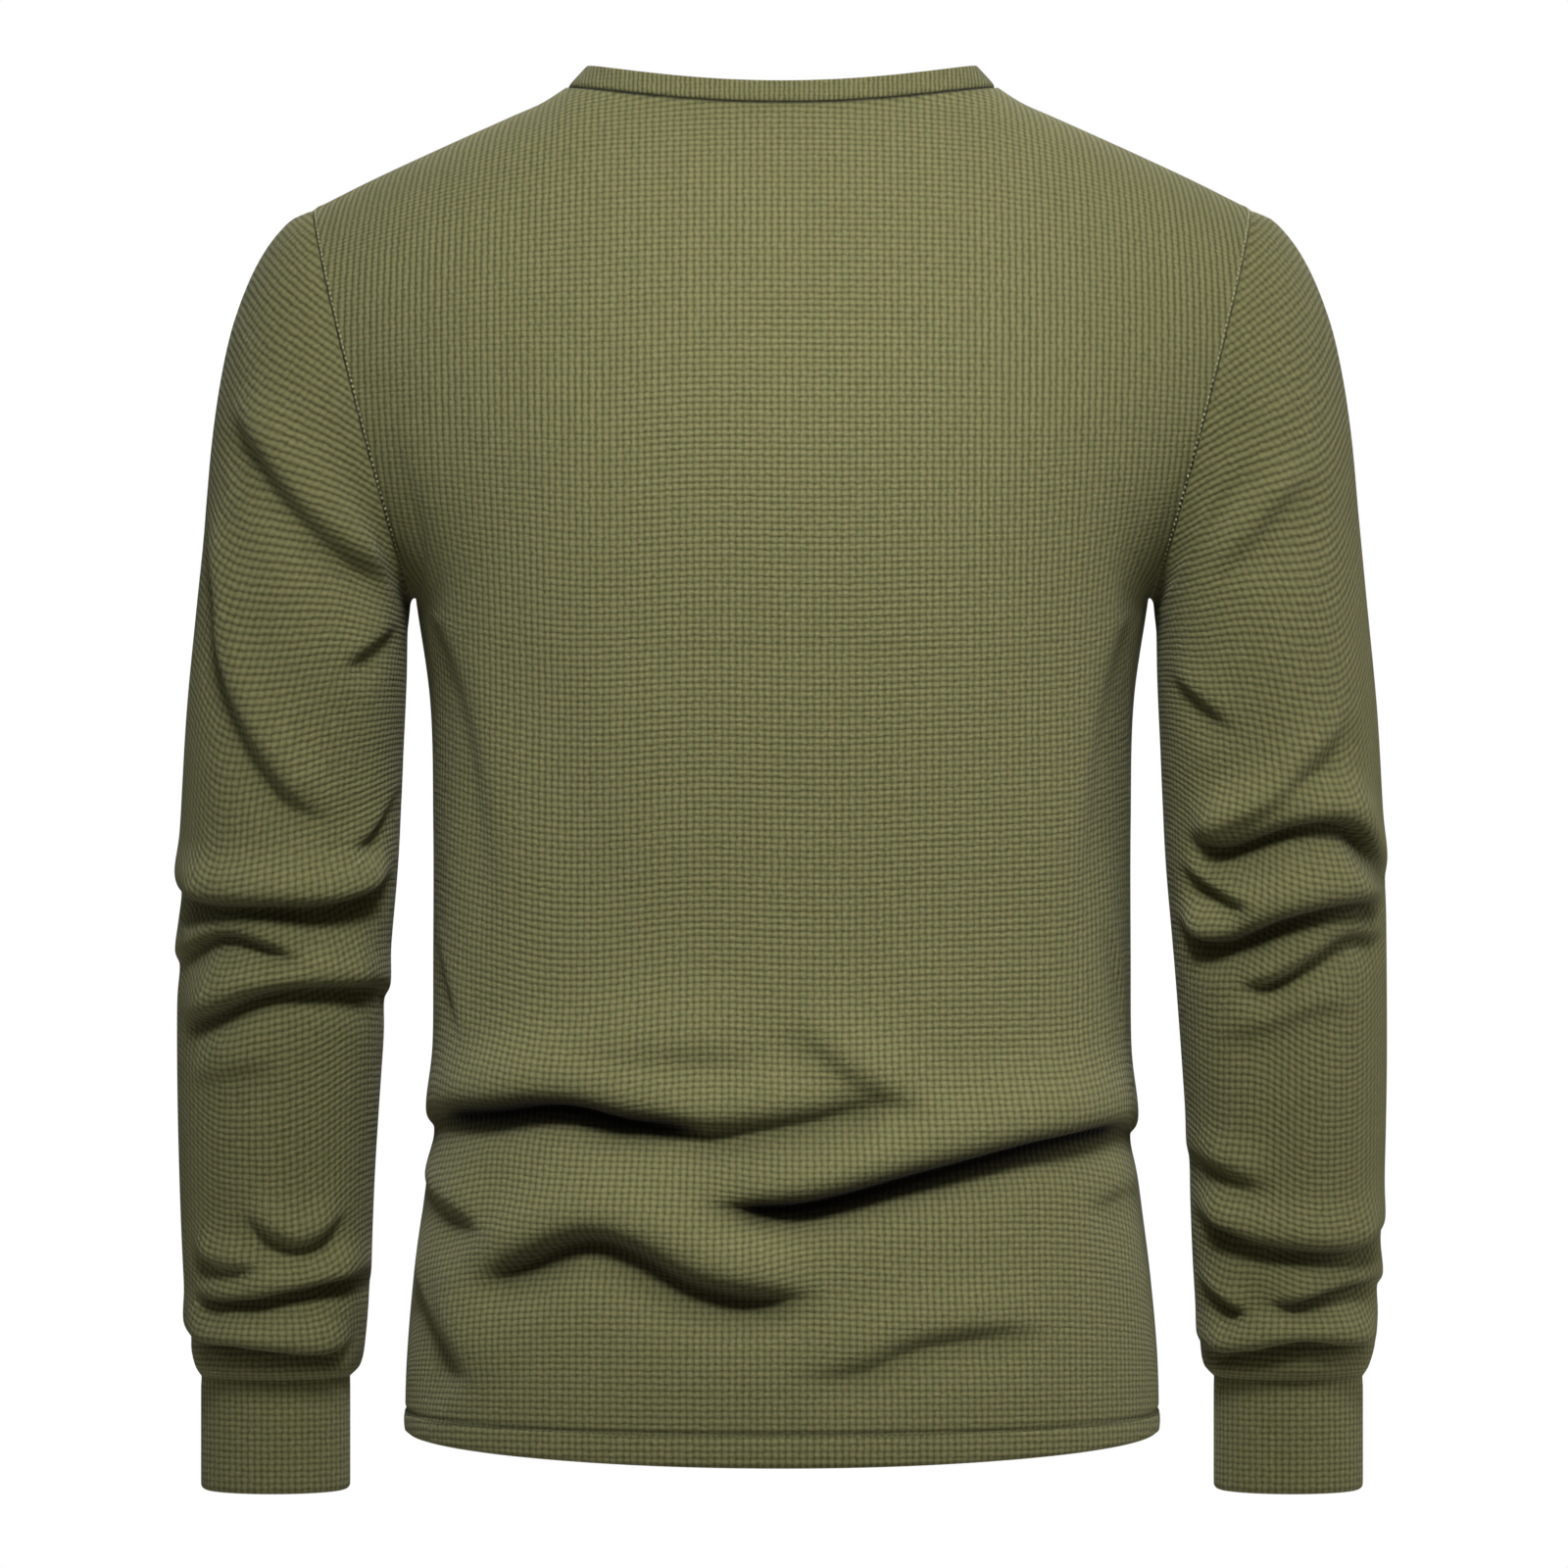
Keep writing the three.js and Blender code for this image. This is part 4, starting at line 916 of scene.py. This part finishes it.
# Grids: finer towards the seams, the hem and the placket
edge_turns = 90 - np.array([4.2, 3.2, 2.4, 1.7, 1.1, 0.5, 0.0])
beside = np.linspace(COLUMN_TURN, edge_turns[0], 66)[:-1]
half_turns = np.concatenate([np.linspace(0, COLUMN_TURN, 6)[1:-1], beside, edge_turns])
panel_turns = np.concatenate([-half_turns[::-1], [0], half_turns])
hem_levels = np.linspace(0, 24, 20) / (CENTRE_ROW - HEM_BACK)
creased = (CREASED_TOP - HEM_BACK) / (CENTRE_ROW - HEM_BACK)
lower_levels = np.concatenate([
    hem_levels,
    np.linspace(hem_levels[-1], creased, CREASED_ROWS)[1:],
    np.linspace(creased, 1, PLAIN_ROWS)[1:],
])
upper_shares = np.concatenate([
    np.arange(1, CHEST_ROWS - 2) / CHEST_ROWS, [0.97, 0.98, 0.989, 0.995, 1.0],
])
levels = np.concatenate([lower_levels, 1 + upper_shares])

sleeve_half = np.concatenate([[0], upper_shares])
sleeve_turns = np.concatenate([180 * sleeve_half, 360 - 180 * sleeve_half[-2:0:-1]])
top_heights = SHOULDER_Z - np.array([0, 1.2, 2.6, 4.4, 6.6, 9.5, 13])
low_heights = np.array([-620, -623, -625.5, -627.5, -629.2, -630.7, -632])
sleeve_heights = np.concatenate([top_heights, *[np.linspace(*row) for row in SLEEVE_ROWS], low_heights])

# Body panels run with falling turn, as seen from outside left to right
back = piece("back", body_points(BACK, panel_turns[::-1], levels), panel_turns[::-1])
front = piece("front", body_points(FRONT, panel_turns, levels), 180 - panel_turns)
sleeve_left = piece("sleeve_left", sleeve_points(sleeve_turns, sleeve_heights), sleeve_turns, wraps=True)
backwards = (360 - sleeve_turns) % 360
sleeve_right = piece(
    "sleeve_right", sleeve_points(backwards, sleeve_heights) * [-1, 1, 1], backwards, wraps=True
)
panels, sleeves = (back, front), (sleeve_left, sleeve_right)
main_pieces = [*panels, *sleeves]
centre = len(half_turns)
shared_normals(main_pieces)
for p, sign in ((back, 1), (front, -1)):
    n = p["normals"]
    grain = np.stack([np.zeros(n.shape[:2]), -sign * n[..., 2], np.abs(n[..., 1]) + 0.03], axis=-1)
    lay_out(p, centre, grain)
for p, sign in ((sleeve_left, -1), (sleeve_right, 1)):
    tilt = sleeve_grain(p["grid"][..., 2])
    grain = np.stack([sign * np.sin(tilt), np.zeros(tilt.shape), np.cos(tilt)], axis=-1)
    lay_out(p, int(np.abs(p["turns"] - 90).argmin()), grain)

# How far the rows stand out before the ribs: the ribs do towards the armholes, the rows on the sleeves
for p in panels:
    side_share = np.abs(np.sin(p["turns"] * RAD))[None, :]
    high_share = smooth((p["grid"][..., 2] + 420) / 300)
    p["rows"] = 0.62 - 0.5 * side_share**1.5 * high_share
for p in sleeves:
    p["rows"] = 0.72 + 0.33 * smooth((p["grid"][..., 2] + 420) / 250)

# Folds, held at the neckline, the shoulder seams, the armholes and the cuffs
from_side = 90 - np.abs(panel_turns)[None, :]
above = clamp01(levels - 1)[:, None]
body_grip = smooth((1 - above) / 0.3) * np.maximum(smooth(from_side / 20), 1 - smooth(above / 0.02))
body_grip = np.where(above == 0, 1, body_grip)
sleeve_grip = smooth((SHOULDER_Z - sleeve_heights) / 60) * smooth((sleeve_heights - CUFF_TOP) / 9)
sleeve_grip = sleeve_grip[:, None]
for p in panels:
    edge_on = smooth((np.abs(np.sin(p["turns"] * RAD)) - 0.72) / 0.28)
    fold_piece(p, BODY_FOLDS, BODY_FOLD_RADIUS, body_grip, 1, edge_on)
for p, folds in ((sleeve_left, LEFT_SLEEVE_FOLDS), (sleeve_right, RIGHT_SLEEVE_FOLDS)):
    edge_on = smooth((np.abs(np.cos(p["turns"] * RAD)) - 0.72) / 0.28)
    fold_piece(p, folds, SLEEVE_FOLD_RADIUS, sleeve_grip, -1, edge_on)
shared_normals(main_pieces)

# Seams, the hem's groove and its rounded edge
for p in panels:
    sides = np.minimum(edge_run(p["grid"], 1), edge_run(p["grid"], 1, True))
    hem_run = edge_run(p["grid"], 0)
    hem_line = mix(HEM_DEPTH_SIDE, HEM_DEPTH_CENTRE, np.cos(p["turns"] * RAD) ** 2)
    p["hem_run"], p["hem_line"] = hem_run, hem_line
    groove = HEM_GROOVE * np.exp(-(((hem_run - hem_line) / 1.1) ** 2))
    puff = HEM_PUFF * np.sin(np.pi * clamp01(hem_run / hem_line))
    rounded = HEM_ROUND * (1 - np.sqrt(1 - (1 - clamp01(hem_run / HEM_ROUND)) ** 2))
    top = edge_run(p["grid"], 0, True)
    joined = (levels > 1)[:, None] & (sides < top)
    ridge = np.where(joined, ARMHOLE_RIDGE, SEAM_RIDGE)
    dip = np.where(joined, ARMHOLE_DIP, SEAM_DIP)
    p["grid"] = p["grid"] - p["normals"] * seam_dip(np.minimum(sides, top), dip, ridge)[..., None]
    p["grid"] = p["grid"] + p["normals"] * (puff - groove - rounded)[..., None]
    # painted shade along the seam under the neckband and along the hem's stitching line, carried by the
    # shade attribute
    in_neck_columns = np.minimum(p["turns"] % 180, 180 - p["turns"] % 180) < NECK_TURN
    neck_shade = NECK_SHADE * np.exp(-((top / 1.6) ** 2)) * in_neck_columns[None, :]
    stitch_shade = HEM_SHADE * np.exp(-(((hem_run - hem_line) / 1.0) ** 2))
    p["shade"] = np.maximum(p["shade"], np.maximum(neck_shade, stitch_shade))
for p in sleeves:
    grid = np.concatenate([p["grid"], p["grid"][:, :1]], axis=1)
    under = np.minimum(edge_run(grid, 1), edge_run(grid, 1, True))[:, :-1]
    joined = edge_run(p["grid"], 0)
    p["grid"] = p["grid"] - p["normals"] * seam_dip(joined, ARMHOLE_DIP, 0.0)[..., None]
    p["grid"] = p["grid"] - p["normals"] * (seam_dip(under) * smooth(joined / 12))[..., None]


def cuff_of(name, sleeve, sign):
    """A cuff from the sleeve's last ring down, its lower edge rounded."""
    turn = sleeve["turns"] * RAD
    first = sleeve["grid"][-1]
    rings = [first]
    heights = [-632.8, -634, -637, -641, *np.linspace(-645, CUFF_BOTTOM + 7, 12)]
    heights += list(CUFF_BOTTOM + CUFF_ROUND * (1 - np.sin(np.linspace(0.1, 1, 7) * np.pi / 2)))
    for z in heights:
        inset = CUFF_ROUND * (1 - np.sqrt(1 - clamp01(1 - (z - CUFF_BOTTOM) / CUFF_ROUND) ** 2))
        ring = np.stack([
            sign * (CUFF_X - (CUFF_HALF_WIDTH + CUFF_PUFF - inset) * np.cos(turn)),
            CUFF_Y + (CUFF_DEPTH + CUFF_PUFF - inset) * np.sin(turn),
            np.full(turn.shape, float(z)),
        ], axis=-1)
        rings.append(mix(first + [0, 0, z - CUFF_TOP], ring, smooth((CUFF_TOP - z) / 6)))
    return piece(name, np.stack(rings), sleeve["turns"], wraps=True)


cuff_left = cuff_of("cuff_left", sleeve_left, 1)
cuff_right = cuff_of("cuff_right", sleeve_right, -1)
cuffs = (cuff_left, cuff_right)


def columns_at(rows, positions):
    """Columns of a grid at places between its columns."""
    left = np.clip(np.floor(positions).astype(int), 0, rows.shape[1] - 2)
    share = (positions - left)[None, :, None]
    return mix(rows[:, left], rows[:, left + 1], share)


# Neckband: from under the placket's overlap round the wearer's right, the back and the left, and over
in_neck = np.flatnonzero(np.abs(panel_turns) <= NECK_TURN + 1e-6)
front_row = front["grid"][-1, in_neck]
back_row = back["grid"][-1, in_neck][::-1]
middle = len(in_neck) // 2
edge_place = np.interp(COLUMN_TURN, panel_turns, np.arange(len(panel_turns)))
in_notch = np.flatnonzero(np.abs(panel_turns) <= COLUMN_TURN + 1e-6)
notch_row_points = front["grid"][-1, in_notch][::-1]
front_right = front_row[:middle][::-1]
front_right = front_right[front_right[:, 0] < -PLACKET_HALF_WIDTH - 0.5]
front_left = front_row[middle:][::-1]
over_end = front["grid"][-1, in_notch[:in_notch.size // 2 + 1]][::-1]
seam = np.concatenate([notch_row_points[1:], front_right, back_row[1:], front_left[1:-1], over_end])
seam = seam[np.append(True, np.linalg.norm(np.diff(seam, axis=0), axis=1) > 0.05)]
run = run_of(seam)
even = np.linspace(0, run[-1], 300)
seam = along_line(seam, run, even)
under_run = run[len(notch_row_points) - 2]
under_share = 1 - smooth((even - under_run) / 6)
neck_depth = np.where(seam[:, 1] > NECK_POINT_Y, BACK["neck_depth"], FRONT["neck_depth"])
lean = np.stack([
    -seam[:, 0] / NECK_HALF_WIDTH**2, (NECK_POINT_Y - seam[:, 1]) / neck_depth**2, np.zeros(len(seam)),
], axis=-1)
lean = unit(lean) * BAND_LEAN + [0, 0, math.sqrt(1 - BAND_LEAN**2)]
ups = np.concatenate([[1, 0.985, 0.95, 0.9], np.linspace(0.84, 0.16, 9), [0.1, 0.06, 0.03, 0]])
band = piece("neckband", seam[None] + ups[:, None, None] * BAND_HEIGHT * lean[None], np.zeros(len(seam)))
shared_normals([*main_pieces, *cuffs, band])
for p in (*cuffs, band):
    lay_out(p, len(seam) // 2 if p is band else int(np.abs(p["turns"] - 90).argmin()))
curl = BAND_PUFF * (1 - np.exp(-ups * BAND_HEIGHT / 0.8)) - BAND_CURL * smooth((ups - 0.86) / 0.14) ** 2
band["grid"] = band["grid"] + band["normals"] * (curl[:, None] - UNDER_DEPTH * under_share)[..., None]
shared_normals([*main_pieces, *cuffs])

# Placket: the overlap in the front's notch and the underlap behind it
notch_row = int(np.searchsorted(levels, 1 + NOTCH - 1e-9))
half_notch = in_notch.size // 2
placket_rows = {key: front[key][notch_row:] for key in ("grid", "normals", "uv")}
over_shares = np.concatenate([[-1, -0.94, -0.85], np.linspace(-0.7, 0.7, 13), [0.85, 0.94, 1]])
over_places = centre + over_shares * half_notch
under_places = centre + np.linspace(-half_notch - 1.0, half_notch * 0.93, 12)


def placket_piece(name, places):
    made = piece(name, columns_at(placket_rows["grid"], places), places)
    for key in ("normals", "uv"):
        made[key] = columns_at(placket_rows[key], places)
    made["normals"] = unit(made["normals"])
    return made


placket_over = placket_piece("placket_over", over_places)
placket_under = placket_piece("placket_under", under_places)

notch_rows = levels[:-1] >= 1 + NOTCH - 1e-9
notch_columns = np.abs((front["turns"][:-1] + front["turns"][1:]) / 2 - 180) < COLUMN_TURN
front["keep"] = ~(notch_rows[:, None] & notch_columns[None, :])

horn = clouded_material("horn", BUTTON_COLOUR, 0.32, 0.5, 260, 1.5, 0.55, 1.5)
knit = knit_material("knit", *KNIT)
ribbed = knit_material("rib", *BAND_RIB)
past_hem = front["hem_run"] - front["hem_line"] - 1
body_wall = np.where(front["hem_run"] < 1, HEM_WALL - 1.2, mix(HEM_WALL, WALL, smooth(past_hem / 3)))
band_wall = np.ones(band["grid"].shape[:2]) * mix(CUFF_WALL, 1.0, smooth((ups - 0.9) / 0.1))[:, None]
objects = {
    **{p["name"]: wall_object(p, body_wall) for p in panels},
    **{p["name"]: wall_object(p, WALL) for p in sleeves},
    **{p["name"]: wall_object(p, CUFF_WALL) for p in cuffs},
    "neckband": wall_object(band, band_wall),
    "placket_over": wall_object(placket_over, PLACKET_WALL, PLACKET_PROUD),
    "placket_under": wall_object(placket_under, PLACKET_WALL, PLACKET_PROUD - PLACKET_WALL - 0.4),
}
for name, obj in objects.items():
    obj.data.materials.append(ribbed if name == "neckband" else knit)
    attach(obj, "root")
    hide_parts(name)

# Thread


def between_rows(values, places):
    """One value of every column of a grid, at a place between its rows."""
    low_row = np.clip(np.floor(places).astype(int), 0, len(values) - 2)
    share = (places - low_row)[:, None]
    columns = np.arange(values.shape[1])
    return mix(values[low_row, columns], values[low_row + 1, columns], share)


def line_along(values, run, far):
    """The points of a grid at a given run in every column."""
    places = np.array([np.interp(f, run[:, k], np.arange(len(run))) for k, f in enumerate(far)])
    return between_rows(values, places)


def stitches(points, normals, length, gap, radius):
    """Vertices and faces of a row of stitches: short threads that dive into the cloth at both ends."""
    run = run_of(points)
    starts = np.arange(gap / 2, run[-1] - length, length + gap)
    vertices, faces = [], []
    ring = np.arange(6) / 6 * 2 * np.pi
    for start in starts:
        at = start + length * np.array([0, 0.16, 0.5, 0.84, 1])
        spine = along_line(points, run, at)
        up = unit(along_line(normals, run, at))
        along = unit(spine[-1] - spine[0])
        side = unit(np.cross(up, along))
        lift = radius * np.array([-0.8, 0.35, 0.8, 0.35, -0.8])
        thick = radius * np.array([0.5, 0.95, 1, 0.95, 0.5])
        spine = spine + up * lift[:, None]
        first = 30 * len(vertices)
        around = np.cos(ring)[None, :, None] * side[:, None] + np.sin(ring)[None, :, None] * up[:, None]
        vertices.append((spine[:, None] + thick[:, None, None] * around).reshape(-1, 3))
        for low_ring in range(first, first + 24, 6):
            for k in range(6):
                n = (k + 1) % 6
                faces.append([low_ring + k, low_ring + n, low_ring + 6 + n, low_ring + 6 + k])
        faces.append([first + k for k in range(5, -1, -1)])
        faces.append([first + 24 + k for k in range(6)])
    return np.concatenate(vertices), faces


def thread_object(name, rows, material, sizes=STITCHES):
    """Rows of stitches as one piece. rows holds the points and the normals of each."""
    vertices, faces, first = [], [], 0
    for points, normals in rows:
        some, sides = stitches(points, normals, *sizes)
        vertices.append(some)
        faces += [[first + n for n in face] for face in sides]
        first += len(some)
    obj = mesh_object(name, np.concatenate(vertices), faces)
    obj.data.materials.append(material)
    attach(obj, "root")
    return obj


cloth_thread = clouded_material("thread", THREAD_COLOUR, 0.75, 0.25, 900, 0, 0.6, 1.35)
# the armhole's stitches are real thread, coloured pale as a painted highlight on the seam's ridge
thread_painted_highlight = clouded_material("thread_painted_highlight", THREAD_HIGHLIGHT_COLOUR, 0.75, 0.25, 900, 0, 0.6, 1.35)
threads = {}
for p in panels:
    run = edge_run(p["grid"], 0)
    row = [line_along(p[key], run, p["hem_line"]) for key in ("grid", "normals")]
    threads[p["name"]] = [thread_object(f"{p['name']}_hem_stitches", [row], cloth_thread)]
    rows = []
    for from_end in (False, True):
        sewn = (levels > SEWN_LEVELS[0]) & (levels < SEWN_LEVELS[1])
        run = edge_run(p["grid"], 1, from_end)[sewn]
        picked = [p[key][sewn] for key in ("grid", "normals")]
        if from_end:
            run, picked = run[:, ::-1], [v[:, ::-1] for v in picked]
        turned = [v.transpose(1, 0, 2) for v in picked]
        rows.append([line_along(v, run.T, np.full(len(run), ARMHOLE_LINE)) for v in turned])
    threads[p["name"]].append(
        thread_object(f"{p['name']}_armhole_stitches", rows, thread_painted_highlight, ARMHOLE_STITCHES)
    )

over = placket_over
over_run = edge_run(over["grid"], 1)[0]
rows = []
for far in (PLACKET_LINE, over_run[-1] - PLACKET_LINE):
    place = np.interp(far, over_run, np.arange(len(over_run)))
    rows.append([columns_at(over[key], np.array([place]))[:, 0] for key in ("grid", "normals")])
up_run = edge_run(over["grid"], 0)
for far in (PLACKET_LINE, PLACKET_BAR):
    all_across = np.full(len(over_run), far)
    rows.append([line_along(over[key], up_run, all_across) for key in ("grid", "normals")])
rows = [[points + unit(normals) * PLACKET_PROUD, normals] for points, normals in rows]
threads["placket_over"] = [thread_object("placket_stitches", rows, cloth_thread)]

# Buttons: rimmed discs with four holes, sewn through, and the buttonholes under them
flat_over = over["grid"].reshape(-1, 3)
hole_rows, sewn_rows = [], []
for k in (1, 2, 3):
    name = f"button_{k}"
    low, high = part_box(name)
    middle_point = (np.array(low) + np.array(high)) / 2 / MM
    nearest = np.linalg.norm(flat_over - middle_point, axis=1).argmin()
    normal = unit(over["normals"].reshape(-1, 3)[nearest])
    side = unit(np.cross([0, 0, 1.0], normal))
    up = np.cross(normal, side)
    seat = middle_point - normal * BUTTON_THICK / 2
    obj = button_object(name + "_look", seat, side, up, normal)
    obj.data.materials.append(horn)
    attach(obj, "root")
    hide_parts(name)
    face = seat + normal * (BUTTON_THICK - BUTTON_RIM + 0.1)
    for x, y in ((1, 1), (1, -1)):
        ends = np.array([face + BUTTON_SPREAD * t * (x * side + y * up) for t in (-1.25, -0.5, 0.5, 1.25)])
        sewn_rows.append([ends, np.tile(normal, (4, 1))])
    for offset in (-1.0, 1.0):
        rise = np.linspace(-BUTTONHOLE_HALF, BUTTONHOLE_HALF, 9)
        path = np.array([seat - normal * 0.1 + offset * side + t * up for t in rise])
        hole_rows.append([path, np.tile(normal, (9, 1))])
threads["placket_over"].append(
    thread_object("buttonhole_stitches", hole_rows, cloth_thread, BUTTONHOLE_STITCHES)
)
button_thread = thread_object("button_thread", sewn_rows, cloth_thread, (BUTTON_SPREAD * 3.3, 0.1, 0.42))

# Stage: pale floor, soft overhead key and fills
bpy.ops.mesh.primitive_circle_add(
    vertices=96, radius=FLOOR_RADIUS, fill_type="NGON", location=(0, 0, FLOOR_Z)
)
floor = bpy.context.object
floor.data.materials.append(floor_material())
floor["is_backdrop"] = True

scene = bpy.context.scene
world = bpy.data.worlds.new("studio")
scene.world = world
world.use_nodes = True
nodes = world.node_tree.nodes
nodes.clear()
seen = nodes.new("ShaderNodeBackground")
lit = nodes.new("ShaderNodeBackground")
seen.inputs["Color"].default_value = (1, 1, 1, 1)
lit.inputs["Color"].default_value = WORLD_COLOUR
lit.inputs["Strength"].default_value = WORLD_STRENGTH
lit_and_seen(world.node_tree, lit, seen, nodes.new("ShaderNodeOutputWorld"))


def area_light(name, location, aim, size, power, colour, spread):
    data = bpy.data.lights.new(name, "AREA")
    data.shape = "RECTANGLE"
    data.size, data.size_y = size
    data.energy = power
    data.color = colour
    data.spread = spread * RAD
    light = bpy.data.objects.new(name, data)
    bpy.context.collection.objects.link(light)
    light.location = location
    direction = np.array(aim, float) - np.array(location, float)
    light.rotation_euler = Vector(direction).to_track_quat("-Z", "Y").to_euler()
    light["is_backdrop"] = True


for light_row in LIGHTS:
    area_light(*light_row)

camera_data = bpy.data.cameras.new("camera")
camera_data.sensor_width = CAMERA_SENSOR
camera_data.lens = CAMERA_LENS
camera = bpy.data.objects.new("camera", camera_data)
bpy.context.collection.objects.link(camera)
camera.location = CAMERA_AT
camera.rotation_euler = (math.pi / 2, 0, math.pi)
scene.camera = camera
scene.view_settings.view_transform = "Standard"

low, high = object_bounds()
